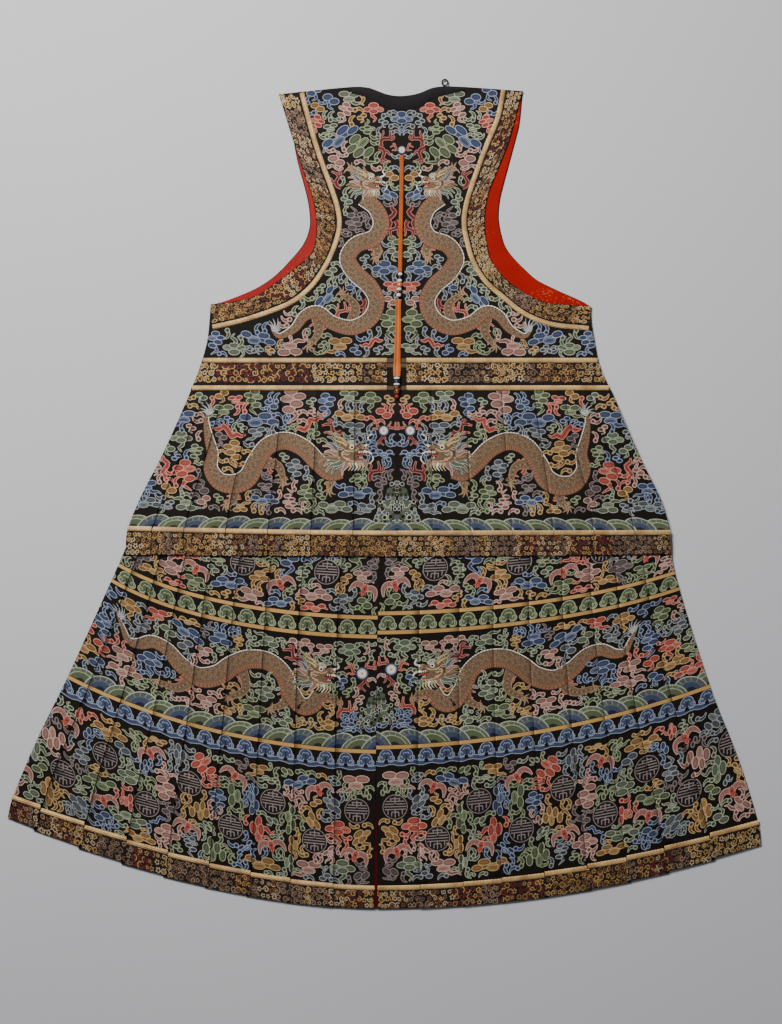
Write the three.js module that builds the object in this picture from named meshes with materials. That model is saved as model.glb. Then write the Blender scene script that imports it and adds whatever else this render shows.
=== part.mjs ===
// Court surcoat, sleeveless, laid flat with its back upwards. Millimetres.
// x runs to the right from the neck of the centre back seam, "down" runs from the shoulders to the hem,
// and z is the height above the table. The whole is centred on its box at the end.
import * as THREE from 'three';

// ---- named sizes ------------------------------------------------------------------------------
const cloth = 1.0; // a lined silk layer, pressed
const seam = 0.3; // between pieces that are sewn together
const bodiceCloth = 1.4;
const liningCloth = 1.0;
const bandCloth = 0.8; // brocade bands applied on the bodice
const waistCloth = 2.3; // interlined waist band
const fold = 2.0; // height a knife pleat stands above the one it covers
const underFold = 0.7; // the same on the hidden front, pressed by the weight above
const riser = 1.2; // width of the turn at a pleat's edge
// Where the pleats open out below the waist: the upper layers rise first.
const openOut = {
  frontTier: { from: 540, to: 620 },
  skirts: { from: 520, to: 600 },
  backTier: { from: 505, to: 555 },
};
const pipingWidth = 8;
const pipingHeight = 1.3;
const waistTop = 459;
const waistLine = 505;
const tierSeam = 747;
const tierHem = 782;
const skirtSeam = 1340;
const skirtHem = 1370;
const liftEnd = { from: 884, to: 960 }; // where the skirts settle below the upper tier
const tierDrop = 2.0; // height of the front tier that the skirts come down by
const sideEase = 2; // the front is cut this much inside the back
const openingHalf = 7; // half the front opening on the bodice
const neckBandDepth = 22;
const armholeSteps = 26;
const cordRadius = 3.0;
const cordSides = 10;

// ---- short tables, all in millimetres ---------------------------------------------------------
const backArmhole = {
  Left: [
    { down: 10, half: 205 }, { down: 60, half: 190 }, { down: 114, half: 177 },
    { down: 160, half: 164 }, { down: 197, half: 152 }, { down: 227, half: 144 },
    { down: 254, half: 144 }, { down: 277, half: 152 }, { down: 301, half: 179 },
    { down: 324, half: 209 }, { down: 346, half: 242 }, { down: 356, half: 279 },
    { down: 361, half: 319 },
  ],
  Right: [
    { down: 5, half: 202 }, { down: 45, half: 191 }, { down: 89, half: 179 },
    { down: 137, half: 160 }, { down: 175, half: 145 }, { down: 209, half: 139 },
    { down: 239, half: 139 }, { down: 269, half: 144 }, { down: 292, half: 152 },
    { down: 323, half: 179 }, { down: 354, half: 229 }, { down: 361, half: 272 },
    { down: 364, half: 316 },
  ],
};
const armholePiping = {
  Left: [
    { down: 8, half: 167 }, { down: 65, half: 152 }, { down: 114, half: 137 },
    { down: 160, half: 120 }, { down: 197, half: 108 }, { down: 227, half: 104 },
    { down: 256, half: 110 }, { down: 292, half: 125 }, { down: 328, half: 149 },
    { down: 354, half: 179 }, { down: 370, half: 213 }, { down: 387, half: 264 },
    { down: 399, half: 316 },
  ],
  Right: [
    { down: 3, half: 170 }, { down: 50, half: 160 }, { down: 99, half: 140 },
    { down: 157, half: 119 }, { down: 197, half: 107 }, { down: 227, half: 104 },
    { down: 256, half: 109 }, { down: 289, half: 119 }, { down: 323, half: 140 },
    { down: 351, half: 172 }, { down: 376, half: 204 }, { down: 394, half: 249 },
    { down: 401, half: 312 },
  ],
};
const frontArmhole = {
  Left: [
    { down: 10, half: 203 }, { down: 60, half: 188 }, { down: 119, half: 177 },
    { down: 179, half: 161 }, { down: 209, half: 156 }, { down: 232, half: 156 },
    { down: 254, half: 163 }, { down: 271, half: 174 }, { down: 287, half: 188 },
    { down: 304, half: 204 }, { down: 321, half: 224 }, { down: 337, half: 251 },
    { down: 354, half: 293 }, { down: 361, half: 317 },
  ],
  Right: [
    { down: 5, half: 204 }, { down: 57, half: 199 }, { down: 87, half: 192 },
    { down: 154, half: 174 }, { down: 187, half: 166 }, { down: 220, half: 164 },
    { down: 254, half: 171 }, { down: 271, half: 179 }, { down: 287, half: 192 },
    { down: 304, half: 209 }, { down: 321, half: 229 }, { down: 337, half: 261 },
    { down: 354, half: 299 }, { down: 364, half: 317 },
  ],
};
const bodiceSide = [
  { down: 388, left: 321, right: 316 },
  { down: 424, left: 325, right: 322 },
  { down: 459, left: 335, right: 329 },
];
const waistSide = [
  { down: 459, left: 335, right: 329 },
  { down: 482, left: 343, right: 338 },
  { down: 505, left: 353, right: 349 },
];
const backNeck = [
  { x: -205, down: 10 }, { x: -84, down: -2 }, { x: -57, down: -1 }, { x: -42, down: 4 },
  { x: -26, down: 10 }, { x: -8, down: 13 }, { x: 12, down: 12 }, { x: 30, down: 8 },
  { x: 53, down: -1 }, { x: 84, down: -3 }, { x: 203, down: 5 },
];
const frontNeck = [
  { x: -205, down: 10 }, { x: -84, down: 0 }, { x: -58, down: 3 }, { x: -48, down: 44 },
  { x: -30, down: 78 }, { x: -7, down: 92 }, { x: 7, down: 92 }, { x: 30, down: 78 },
  { x: 48, down: 44 }, { x: 58, down: 3 }, { x: 84, down: 0 }, { x: 203, down: 5 },
];
const tier = [
  { down: 505, axis: -8, halfLeft: 344, halfRight: 358 },
  { down: 563, axis: -8, halfLeft: 368, halfRight: 382 },
  { down: 622, axis: -8, halfLeft: 394, halfRight: 408 },
  { down: 688, axis: -8, halfLeft: 427, halfRight: 440 },
  { down: 747, axis: -8, halfLeft: 450, halfRight: 456 },
  { down: 782, axis: -8, halfLeft: 453, halfRight: 457 },
];
const tierHang = [
  { down: 505, riseLeft: 0, riseRight: 0, bendLeft: 1.7, bendRight: 1.7 },
  { down: 747, riseLeft: 8, riseRight: 1, bendLeft: 1.7, bendRight: 1.7 },
  { down: 782, riseLeft: 3, riseRight: 4, bendLeft: 1.7, bendRight: 1.7 },
];
const skirt = [
  { down: 505, axis: -8, halfLeft: 341, halfRight: 355 },
  { down: 655, axis: -20, halfLeft: 376, halfRight: 415 },
  { down: 789, axis: -33, halfLeft: 409, halfRight: 474 },
  { down: 884, axis: -40, halfLeft: 433, halfRight: 497 },
  { down: 1108, axis: -43, halfLeft: 515, halfRight: 560 },
  { down: 1240, axis: -43, halfLeft: 571, halfRight: 609 },
  { down: 1340, axis: -43, halfLeft: 608, halfRight: 639 },
  { down: 1370, axis: -43, halfLeft: 615, halfRight: 643 },
];
// How far each level of the skirt rises from the vent to the side, and how it bends on the way.
const skirtHang = [
  { down: 505, riseLeft: 0, riseRight: 0, bendLeft: 1.7, bendRight: 1.7 },
  { down: 655, riseLeft: 37, riseRight: 30, bendLeft: 1.7, bendRight: 1.7 },
  { down: 884, riseLeft: 88, riseRight: 69, bendLeft: 1.7, bendRight: 1.7 },
  { down: 1108, riseLeft: 125, riseRight: 103, bendLeft: 1.7, bendRight: 1.7 },
  { down: 1340, riseLeft: 154, riseRight: 112, bendLeft: 1.72, bendRight: 1.95 },
  { down: 1370, riseLeft: 154, riseRight: 109, bendLeft: 1.85, bendRight: 2.1 },
];
const tierFolds = { Left: [74, 145, 217, 288, 358, 412], Right: [60, 124, 193, 262, 330, 398] };
const skirtFolds = {
  Left: [70, 142, 209, 279, 349, 419, 491, 566],
  Right: [72, 144, 209, 281, 353, 419, 483, 560],
};
const upperBeads = [
  { name: 'pendant_bead_01', length: 5.6, radius: 3.6, colour: 0xe8e6df },
  { name: 'pendant_bead_02', length: 4.4, radius: 3.2, colour: 0x26262c },
  { name: 'pendant_bead_03', length: 5.6, radius: 3.8, colour: 0xe8e6df },
  { name: 'pendant_bead_04', length: 8.0, radius: 5.0, colour: 0xd86a3c },
  { name: 'pendant_bead_05', length: 5.8, radius: 4.0, colour: 0xe8e6df },
  { name: 'pendant_bead_06', length: 3.4, radius: 3.4, colour: 0x26262c },
  { name: 'pendant_bead_07', length: 6.0, radius: 4.0, colour: 0xe8e6df },
];
const lowerBeads = [
  { name: 'pendant_bead_08', length: 4.6, radius: 5.2, colour: 0xe8e6df },
  { name: 'pendant_bead_09', length: 5.0, radius: 5.6, colour: 0x23324a },
  { name: 'pendant_bead_10', length: 4.6, radius: 5.2, colour: 0xe8e6df },
  { name: 'pendant_end', length: 14.0, radius: 5.0, colour: 0xc89a4a },
  { name: 'pendant_tip', length: 7.0, radius: 3.4, colour: 0xb63a2c },
];
const tape = [
  { down: 353, x: -5.6, half: 4.8, low: 8.4 },
  { down: 364, x: -5.8, half: 4.8, low: 6.8 },
  { down: 378, x: -6.0, half: 4.9, low: 4.7 },
  { down: 392, x: -6.2, half: 5.0, low: 4.4 },
  { down: 436, x: -7.3, half: 5.5, low: 4.4 },
  { down: 450, x: -7.6, half: 5.7, low: 5.2 },
  { down: 462, x: -7.9, half: 5.9, low: 5.7 },
  { down: 474, x: -8.2, half: 6.1, low: 8.2 },
  { down: 482, x: -8.3, half: 6.2, low: 9.9 },
];

// ---- levels: the underside and the top of each layer, from the table up -----------------------
const bodiceLow = cloth + seam + liningCloth + seam;
const bodiceHigh = bodiceLow + bodiceCloth;
const waistHigh = bodiceLow + waistCloth;
const tapeCloth = 1.8;

const ways = { Left: -1, Right: 1 };
const garment = new THREE.Group();

function add(name, geometry, colour, roughness = 0.8, metalness = 0) {
  const material = new THREE.MeshStandardMaterial({ color: colour, roughness, metalness });
  const mesh = new THREE.Mesh(geometry, material);
  mesh.name = name;
  garment.add(mesh);
  return mesh;
}

function smoothstep(value, from, to) {
  const s = Math.min(Math.max((value - from) / (to - from), 0), 1);
  return s * s * (3 - 2 * s);
}

// One column of a table at a value of its key, on a smooth line through every row.
function along(table, key, column, value) {
  const last = table.length - 1;
  const slope = (k) => {
    const before = table[Math.max(k - 1, 0)];
    const after = table[Math.min(k + 1, last)];
    return (after[column] - before[column]) / (after[key] - before[key]);
  };
  let i = 0;
  while (i < last - 1 && value > table[i + 1][key]) i += 1;
  const [a, b] = [table[i], table[i + 1]];
  const span = b[key] - a[key];
  const s = Math.min(Math.max((value - a[key]) / span, 0), 1);
  const [s2, s3] = [s * s, s * s * s];
  const ends = a[column] * (2 * s3 - 3 * s2 + 1) + b[column] * (3 * s2 - 2 * s3);
  return ends + span * (slope(i) * (s3 - 2 * s2 + s) + slope(i + 1) * (s3 - s2));
}

// Points at even steps on a smooth line through a table's rows, with the unit normal at each.
function smoothLine(rows, steps) {
  const table = rows.map((row, index) => ({ ...row, index }));
  const at = (t) => ({
    down: along(table, 'index', 'down', t),
    half: along(table, 'index', 'half', t),
  });
  const last = table.length - 1;
  return Array.from({ length: steps + 1 }, (_, i) => {
    const t = (i / steps) * last;
    const [a, b] = [at(Math.max(t - 0.05, 0)), at(Math.min(t + 0.05, last))];
    const length = Math.hypot(b.down - a.down, b.half - a.half);
    const normal = { down: -(b.half - a.half) / length, half: (b.down - a.down) / length };
    return { ...at(t), normal };
  });
}

// Closed cloth from rows of points { x, down, low, high }, every row with as many points.
function sheet(rows) {
  const [m, n] = [rows.length, rows[0].length];
  const positions = [];
  for (const level of ['high', 'low']) {
    for (const row of rows) {
      for (const p of row) positions.push(p.x, -p.down, p[level]);
    }
  }
  const faces = [];
  const quad = (a, b, c, d) => faces.push(a, b, c, a, c, d);
  const id = (j, i, low) => (low ? m * n : 0) + j * n + i;
  for (let j = 0; j < m - 1; j += 1) {
    for (let i = 0; i < n - 1; i += 1) {
      quad(id(j, i, 0), id(j + 1, i, 0), id(j + 1, i + 1, 0), id(j, i + 1, 0));
      quad(id(j, i, 1), id(j, i + 1, 1), id(j + 1, i + 1, 1), id(j + 1, i, 1));
    }
  }
  for (let j = 0; j < m - 1; j += 1) {
    quad(id(j, 0, 0), id(j, 0, 1), id(j + 1, 0, 1), id(j + 1, 0, 0));
    quad(id(j, n - 1, 0), id(j + 1, n - 1, 0), id(j + 1, n - 1, 1), id(j, n - 1, 1));
  }
  for (let i = 0; i < n - 1; i += 1) {
    quad(id(0, i, 0), id(0, i + 1, 0), id(0, i + 1, 1), id(0, i, 1));
    quad(id(m - 1, i, 0), id(m - 1, i, 1), id(m - 1, i + 1, 1), id(m - 1, i + 1, 0));
  }
  // Rows that run from right to left give a sheet inside out, so its faces are turned.
  const [o, r, d] = [rows[0][0], rows[0][n - 1], rows[m - 1][0]];
  const turn = (r.x - o.x) * (d.down - o.down) - (r.down - o.down) * (d.x - o.x);
  if (turn < 0) {
    for (let k = 0; k < faces.length; k += 3) {
      [faces[k + 1], faces[k + 2]] = [faces[k + 2], faces[k + 1]];
    }
  }
  const geometry = new THREE.BufferGeometry();
  geometry.setAttribute('position', new THREE.Float32BufferAttribute(positions, 3));
  geometry.setIndex(faces);
  geometry.computeVertexNormals();
  return geometry;
}

// ---- bodice -----------------------------------------------------------------------------------
// The outer edge of a bodice panel, from its shoulder point to its waist.
function outerEdge(side, armhole, ease) {
  const below = bodiceSide.map((row) => ({ down: row.down, half: row[side.toLowerCase()] }));
  const edge = [...armhole[side], ...below].map((row) => ({ ...row }));
  edge.forEach((row) => {
    row.half -= ease;
  });
  edge.at(-1).down -= seam / 2;
  return edge;
}

// Rows come down from the neck and shoulder line, which fades into the straight waist.
function bodicePanel(side, armhole, neck, inner, ease, low, high) {
  const edge = outerEdge(side, armhole, ease);
  const shares = neck === backNeck ? [0, 0.07, 0.14, 0.22, 0.28, 0.41, 0.7, 1]
    : [0, 0.12, 0.21, 0.27, 0.42, 1];
  const start = edge[0].down;
  return sheet(edge.map((row, j) => {
    const fade = (1 - j / (edge.length - 1)) ** 2;
    return shares.map((share) => {
      const x = ways[side] * (inner + share * (row.half - inner));
      const topX = ways[side] * (inner + share * (edge[0].half - inner));
      const topDown = along(neck, 'x', 'down', topX);
      const down = row.down + fade * (share === 1 ? 0 : topDown - start);
      return { x, down, low, high };
    });
  }));
}

function armholeStrip(side, from, to, low, high) {
  const outer = smoothLine(backArmhole[side], armholeSteps);
  const inner = smoothLine(armholePiping[side], armholeSteps);
  const at = (i, reach) => {
    const line = reach.line === 'edge' ? outer[i] : inner[i];
    const half = line.half + reach.offset * line.normal.half;
    return { x: ways[side] * half, down: line.down + reach.offset * line.normal.down };
  };
  const profile = from.crown
    ? [[from, low, low + 0.5], [from.crown, low, high], [to, low, low + 0.5]]
    : [[from, low, high], [to, low, high]];
  return sheet(outer.map((_, i) => profile.map(([reach, bottom, top]) => (
    { ...at(i, reach), low: bottom, high: top }
  ))));
}

// ---- pleated panels ---------------------------------------------------------------------------
// u runs from the centre line to the side seam; pleats stay nearly upright and fan out at the side.
function fan(shape, side, u, down, ease) {
  const hang = shape === tier ? tierHang : skirtHang;
  const half = along(shape, 'down', `half${side}`, down) - ease;
  const hem = shape.at(-1)[`half${side}`] - ease;
  const reach = hem * (u - (1 - half / hem) * u * u);
  const bend = along(hang, 'down', `bend${side}`, down);
  const rise = along(hang, 'down', `rise${side}`, down) * u ** bend;
  return { reach, axis: along(shape, 'down', 'axis', down), down: down - rise };
}

// Places across the panel, with how far the cloth stands up at each: a fold is 1, its foot is 0.
function pleatColumns(shape, side, folds) {
  const hem = shape.at(-1)[`half${side}`];
  const columns = [{ u: 0, stand: 0.5 }];
  for (const at of folds[side]) {
    columns.push({ u: (at - riser) / hem, stand: 0 });
    columns.push({ u: at / hem, stand: 1 });
  }
  columns.push({ u: 1, stand: 0 });
  return columns;
}

function pleated(shape, side, folds, downs, ease, gapAt, levels) {
  return sheet(downs.map((down) => pleatColumns(shape, side, folds).map(({ u, stand }) => {
    const p = fan(shape, side, u, down, ease);
    const open = gapAt(down) * (1 - u);
    const x = p.axis + ways[side] * (p.reach + open);
    return { x, down: p.down, ...levels(down, stand) };
  })));
}

const opened = (layer, down) => smoothstep(down, openOut[layer].from, openOut[layer].to);
const settled = (down) => tierDrop * smoothstep(down, liftEnd.from, liftEnd.to);
const levels = {
  frontTier: (down, stand) => {
    const open = opened('frontTier', down);
    return { low: underFold * open * (1 - stand), high: cloth + underFold * open };
  },
  frontSkirt: (down, stand) => {
    const open = opened('skirts', down);
    const base = cloth + seam + underFold * open - settled(down);
    return { low: base + underFold * open * (1 - stand), high: base + cloth + underFold * open };
  },
  backSkirt: (down, stand) => {
    const open = opened('skirts', down);
    const base = 2 * (cloth + seam) + 2 * underFold * open - settled(down);
    return { low: base, high: base + cloth + fold * open * stand };
  },
  backTier: (down, stand) => {
    const open = opened('backTier', down);
    const base = 3 * (cloth + seam) + (2 * underFold + fold) * open;
    return { low: base, high: base + cloth + fold * open * stand };
  },
};
const onTop = (under, thick) => (down, stand) => {
  const low = under(down, stand).high + seam;
  return { low, high: low + thick };
};
// The skirt opens a little at the vent towards its hem.
const ventGap = (down) => seam + 2.2 * smoothstep(down, 1100, 1370);
const seamGap = () => seam / 2;
const frontGap = () => seam;

// ---- build ------------------------------------------------------------------------------------
const navy = 0x17171f;
const brocade = 0x4a382a;
const gold = 0xc9a468;
const red = 0xb8282a;
const pleatTop = waistLine + seam / 2;
// A piping covers the last of its panel, down to the seam with the hem band.
const pipingDowns = (end) => [end - pipingWidth, end - pipingWidth / 2, end].map((d) => d - seam / 2);
const tierPiping = pipingDowns(tierSeam);
const skirtPiping = pipingDowns(skirtSeam);
const tierDowns = [pleatTop, 520, 538, 555, 622, 688, tierPiping[0], tierPiping[2]];
const skirtDowns = [
  pleatTop, 520, 560, 600, 740, 884, 960, 1108, 1240, skirtPiping[0], skirtPiping[2],
];
const frontTierDowns = [pleatTop, 540, 580, 620, 688, tierHem - 3];
const frontSkirtDowns = [pleatTop, 520, 560, 600, 884, 960, 1108, 1240, skirtHem - 3];
const skirtHemDowns = [skirtSeam + seam / 2, skirtHem];
const tierHemDowns = [tierSeam + seam / 2, tierHem];

for (const side of ['Left', 'Right']) {
  const hand = side.toLowerCase();

  add(`front_bodice_${hand}`,
    bodicePanel(side, frontArmhole, frontNeck, openingHalf, sideEase, 0, cloth), navy);
  add(`front_lining_${hand}`,
    bodicePanel(side, frontArmhole, frontNeck, openingHalf, sideEase + 1.5, cloth + seam,
      cloth + seam + liningCloth), red, 0.55);
  add(`back_bodice_${hand}`,
    bodicePanel(side, backArmhole, backNeck, seam / 2, 0, bodiceLow, bodiceHigh), navy);

  const half = pipingWidth / 2;
  const bandLow = bodiceHigh + seam;
  add(`armhole_band_${hand}`,
    armholeStrip(side, { line: 'edge', offset: -0.5 }, { line: 'piping', offset: half + seam },
      bandLow, bandLow + bandCloth), brocade);
  add(`armhole_piping_${hand}`,
    armholeStrip(side, { line: 'piping', offset: half, crown: { line: 'piping', offset: 0 } },
      { line: 'piping', offset: -half }, bandLow, bandLow + pipingHeight), gold, 0.5, 0.3);

  const waistRow = (downs, inner, ease, low, high) => sheet(downs.map((down) => [0, 0.33, 0.67, 1]
    .map((share) => {
      const outer = along(waistSide, 'down', hand, down) - ease;
      return { x: ways[side] * (inner + share * (outer - inner)), down, low, high };
    })));
  const waistDowns = [waistTop + seam / 2, 482, waistLine - seam / 2];
  const bandInner = side === 'Left' ? 25 : 8;
  add(`front_waist_band_${hand}`, waistRow(waistDowns, openingHalf, sideEase, 0, cloth), brocade);
  add(`back_waist_band_${hand}`,
    waistRow(waistDowns, bandInner + seam / 2, 0, bodiceLow, waistHigh), brocade);

  const pipe = (centre, inner, low) => {
    const outer = along([...bodiceSide.slice(0, 2), ...waistSide], 'down', hand, centre) - 1;
    const across = [[-half, 0.5], [0, pipingHeight], [half, 0.5]];
    return sheet(across.map(([offset, height]) => [0, 0.5, 1].map((share) => {
      const x = ways[side] * (inner + share * (outer - inner));
      return { x, down: centre + offset, low, high: low + height };
    })));
  };
  add(`waist_piping_upper_${hand}`, pipe(454.5, bandInner, bandLow), gold, 0.5, 0.3);
  add(`waist_piping_lower_${hand}`, pipe(500.5, bandInner, waistHigh + seam), gold, 0.5, 0.3);

  add(`front_tier_${hand}`,
    pleated(tier, side, tierFolds, frontTierDowns, sideEase, frontGap, levels.frontTier), navy);
  add(`front_skirt_${hand}`,
    pleated(skirt, side, skirtFolds, frontSkirtDowns, sideEase, frontGap,
      levels.frontSkirt), navy);
  add(`back_skirt_${hand}`,
    pleated(skirt, side, skirtFolds, skirtDowns, 0, ventGap, levels.backSkirt), navy);
  add(`skirt_hem_band_${hand}`,
    pleated(skirt, side, skirtFolds, skirtHemDowns, 0, ventGap, levels.backSkirt), brocade);
  add(`skirt_hem_piping_${hand}`,
    pleated(skirt, side, skirtFolds, skirtPiping, 0, ventGap,
      onTop(levels.backSkirt, 0.9)), gold, 0.5, 0.3);
  add(`back_tier_${hand}`,
    pleated(tier, side, tierFolds, tierDowns, 0, seamGap, levels.backTier), navy);
  add(`tier_hem_band_${hand}`,
    pleated(tier, side, tierFolds, tierHemDowns, 0, seamGap, levels.backTier), brocade);
  add(`tier_hem_piping_${hand}`,
    pleated(tier, side, tierFolds, tierPiping, 0, seamGap, onTop(levels.backTier, 0.9)),
    gold, 0.5, 0.3);

  // The red lining rolls out at the vent as a narrow edge in the gap.
  const ventDowns = [1190, 1240, 1300, skirtHem - 1];
  add(`vent_edge_${hand}`, sheet(ventDowns.map((down) => {
    const { low, high } = levels.backSkirt(down, 0.4);
    const axis = along(skirt, 'down', 'axis', down);
    return [0.15, ventGap(down) - seam].map((reach) => (
      { x: axis + ways[side] * reach, down, low, high }
    ));
  })), red, 0.55);
}

add('waist_centre_strip', sheet([waistTop + seam / 2, waistLine - seam / 2].map((down) => (
  [-25 + seam / 2, 8 - seam / 2].map((x) => ({ x, down, low: bodiceLow, high: waistHigh }))
))), navy);

// The plain neck band is deepest at the centre and runs out along both shoulders.
const neckStops = [-84, -70, -57, -42, -26, -8, 12, 30, 42, 53, 70, 84, 105];
add('back_neck_band', sheet(neckStops.map((x) => {
  const top = along(backNeck, 'x', 'down', x) + 0.5;
  const depth = 6 + (neckBandDepth - 6) * (1 - Math.min(Math.abs(x - 2) / 100, 1) ** 2);
  const [low, high] = [bodiceHigh + seam, bodiceHigh + seam + bandCloth];
  return [{ x, down: top, low, high }, { x, down: top + depth, low, high }];
})), 0x121216);

// The thread loop stands off the neck band's edge.
const loopRadius = 4.8;
const loopThread = 1.2;
const loopX = 72;
const loopDown = along(backNeck, 'x', 'down', loopX) - seam - loopRadius - loopThread;
add('neck_loop', new THREE.TorusGeometry(loopRadius, loopThread, 6, 16), 0x121216)
  .position.set(loopX, -loopDown, bodiceLow + loopThread);

// Front fastenings: a knot button with its loop, holding the two front edges together.
function toggle() {
  const [reach, arm, knot, thick] = [openingHalf - seam, 1.4, 4.4, 2.0];
  const turn = Math.asin(arm / knot);
  const shape = new THREE.Shape();
  shape.moveTo(-reach, -arm);
  shape.absarc(0, 0, knot, Math.PI + turn, 2 * Math.PI - turn, false);
  shape.lineTo(reach, -arm);
  shape.lineTo(reach, arm);
  shape.absarc(0, 0, knot, turn, Math.PI - turn, false);
  shape.lineTo(-reach, arm);
  shape.closePath();
  return new THREE.ExtrudeGeometry(shape, {
    depth: thick, bevelEnabled: false, curveSegments: 7,
  });
}
[130, 225, 320, 415].forEach((down, i) => {
  add(`front_button_${i + 1}`, toggle(), 0xb08a4a, 0.5, 0.2).position.y = -down;
});

// ---- the cord that hangs down the centre back -------------------------------------------------
const cordLow = bodiceHigh + seam + cordRadius;
const beadAxis = bodiceHigh + seam + 5.0;
const cordPath = new THREE.CatmullRomCurve3([
  [0, 112, cordLow], [-0.3, 160, cordLow], [-1.4, 220, cordLow], [-2.2, 270, cordLow],
  [-2.5, 292, cordLow + 0.9], [-2.6, 308, beadAxis],
].map(([x, down, z]) => new THREE.Vector3(x, -down, z)));
const cordRing = new THREE.Shape();
cordRing.absarc(0, 0, cordRadius, 0, 2 * Math.PI, false);
add('pendant_cord', new THREE.ExtrudeGeometry(cordRing, {
  steps: 14, curveSegments: cordSides, bevelEnabled: false, extrudePath: cordPath,
}), 0xc97a34, 0.7);

// Beads and caps follow one another along the cord, a seam's width apart.
function string(beads, start, x, drift, z) {
  let down = start;
  for (const { name, length, radius, colour } of beads) {
    const end = name === 'pendant_tip' ? 0.5 : 0.62;
    const profile = [
      [0, 0], [radius * 0.62, 0], [radius * 0.92, length * 0.2], [radius, length * 0.5],
      [radius * 0.92, length * 0.8], [radius * end, length], [0, length],
    ].map(([r, h]) => new THREE.Vector2(r, h));
    const bead = add(name, new THREE.LatheGeometry(profile, 14), colour, 0.35);
    bead.rotation.x = Math.PI;
    bead.position.set(x + drift * (down - start), -down, z);
    down += length + seam;
  }
}
string(upperBeads, 308 + seam, -2.6, -0.07, beadAxis);
string(lowerBeads, 482 + seam, -8.3, 0, waistHigh + seam + 5.6);

add('pendant_tape', sheet(tape.map(({ down, x, half, low }) => [-1, 1].map((way) => (
  { x: x + way * half, down, low, high: low + tapeCloth }
)))), 0xcf8136, 0.7);

// ---- centred on its own box, resting on the table ---------------------------------------------
const box = new THREE.Box3().setFromObject(garment);
const middle = box.getCenter(new THREE.Vector3());
garment.position.set(-middle.x, -middle.y, -box.min.z);

const root = new THREE.Group();
root.add(garment);

export default root;
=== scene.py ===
import math
import random

import bmesh
import bpy
import numpy as np
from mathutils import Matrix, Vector
from mathutils.geometry import delaunay_2d_cdt


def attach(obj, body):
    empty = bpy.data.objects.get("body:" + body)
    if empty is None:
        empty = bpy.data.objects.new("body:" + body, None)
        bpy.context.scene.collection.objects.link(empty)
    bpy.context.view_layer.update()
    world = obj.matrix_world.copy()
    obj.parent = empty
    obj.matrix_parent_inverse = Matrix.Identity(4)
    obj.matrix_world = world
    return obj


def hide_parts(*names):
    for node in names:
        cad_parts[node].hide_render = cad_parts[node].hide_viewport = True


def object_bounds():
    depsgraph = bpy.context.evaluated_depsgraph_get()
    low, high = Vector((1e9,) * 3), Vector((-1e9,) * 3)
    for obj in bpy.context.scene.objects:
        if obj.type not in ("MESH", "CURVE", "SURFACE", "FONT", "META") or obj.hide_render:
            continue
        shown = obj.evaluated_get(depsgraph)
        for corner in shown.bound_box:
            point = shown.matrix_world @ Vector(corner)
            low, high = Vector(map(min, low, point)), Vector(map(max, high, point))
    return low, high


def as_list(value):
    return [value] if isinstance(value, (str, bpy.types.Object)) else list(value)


# Court surcoat, sleeveless, laid flat with its back upwards, dressed in its woven silk.
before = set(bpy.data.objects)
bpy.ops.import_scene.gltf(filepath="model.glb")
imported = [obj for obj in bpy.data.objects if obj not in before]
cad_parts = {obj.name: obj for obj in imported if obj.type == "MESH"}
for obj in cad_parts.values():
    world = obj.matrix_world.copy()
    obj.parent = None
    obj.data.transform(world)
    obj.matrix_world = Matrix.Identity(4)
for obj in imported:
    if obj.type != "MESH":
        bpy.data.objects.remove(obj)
cad_low, cad_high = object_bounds()

# ---- the garment's own measure ----
# Millimetres: x to the right of the centre back, "down" from the shoulders, z up from the table.
MM = 0.001
CENTRE_X = cad_high.x - 600 * MM
SHOULDER_Y = cad_low.y + 1370 * MM


def place(x, down, z):
  """Places in the garment's millimetres as an array of points in the frame."""
  x, down, z = np.broadcast_arrays(np.asarray(x, float), down, z)
  return np.stack([CENTRE_X + x * MM, SHOULDER_Y - down * MM, z * MM], axis=-1)


def pair(a, b):
  """Two numbers, or two rows of them, side by side."""
  return np.stack([a, b], axis=-1)


def distances(line):
  """How far along a line each of its points is."""
  return np.concatenate([[0], np.cumsum(np.linalg.norm(np.diff(line, axis=0), axis=1))])


def smoothstep(value, start, end):
  s = np.clip((np.asarray(value, float) - start) / (end - start), 0, 1)
  return s * s * (3 - 2 * s)


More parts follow.
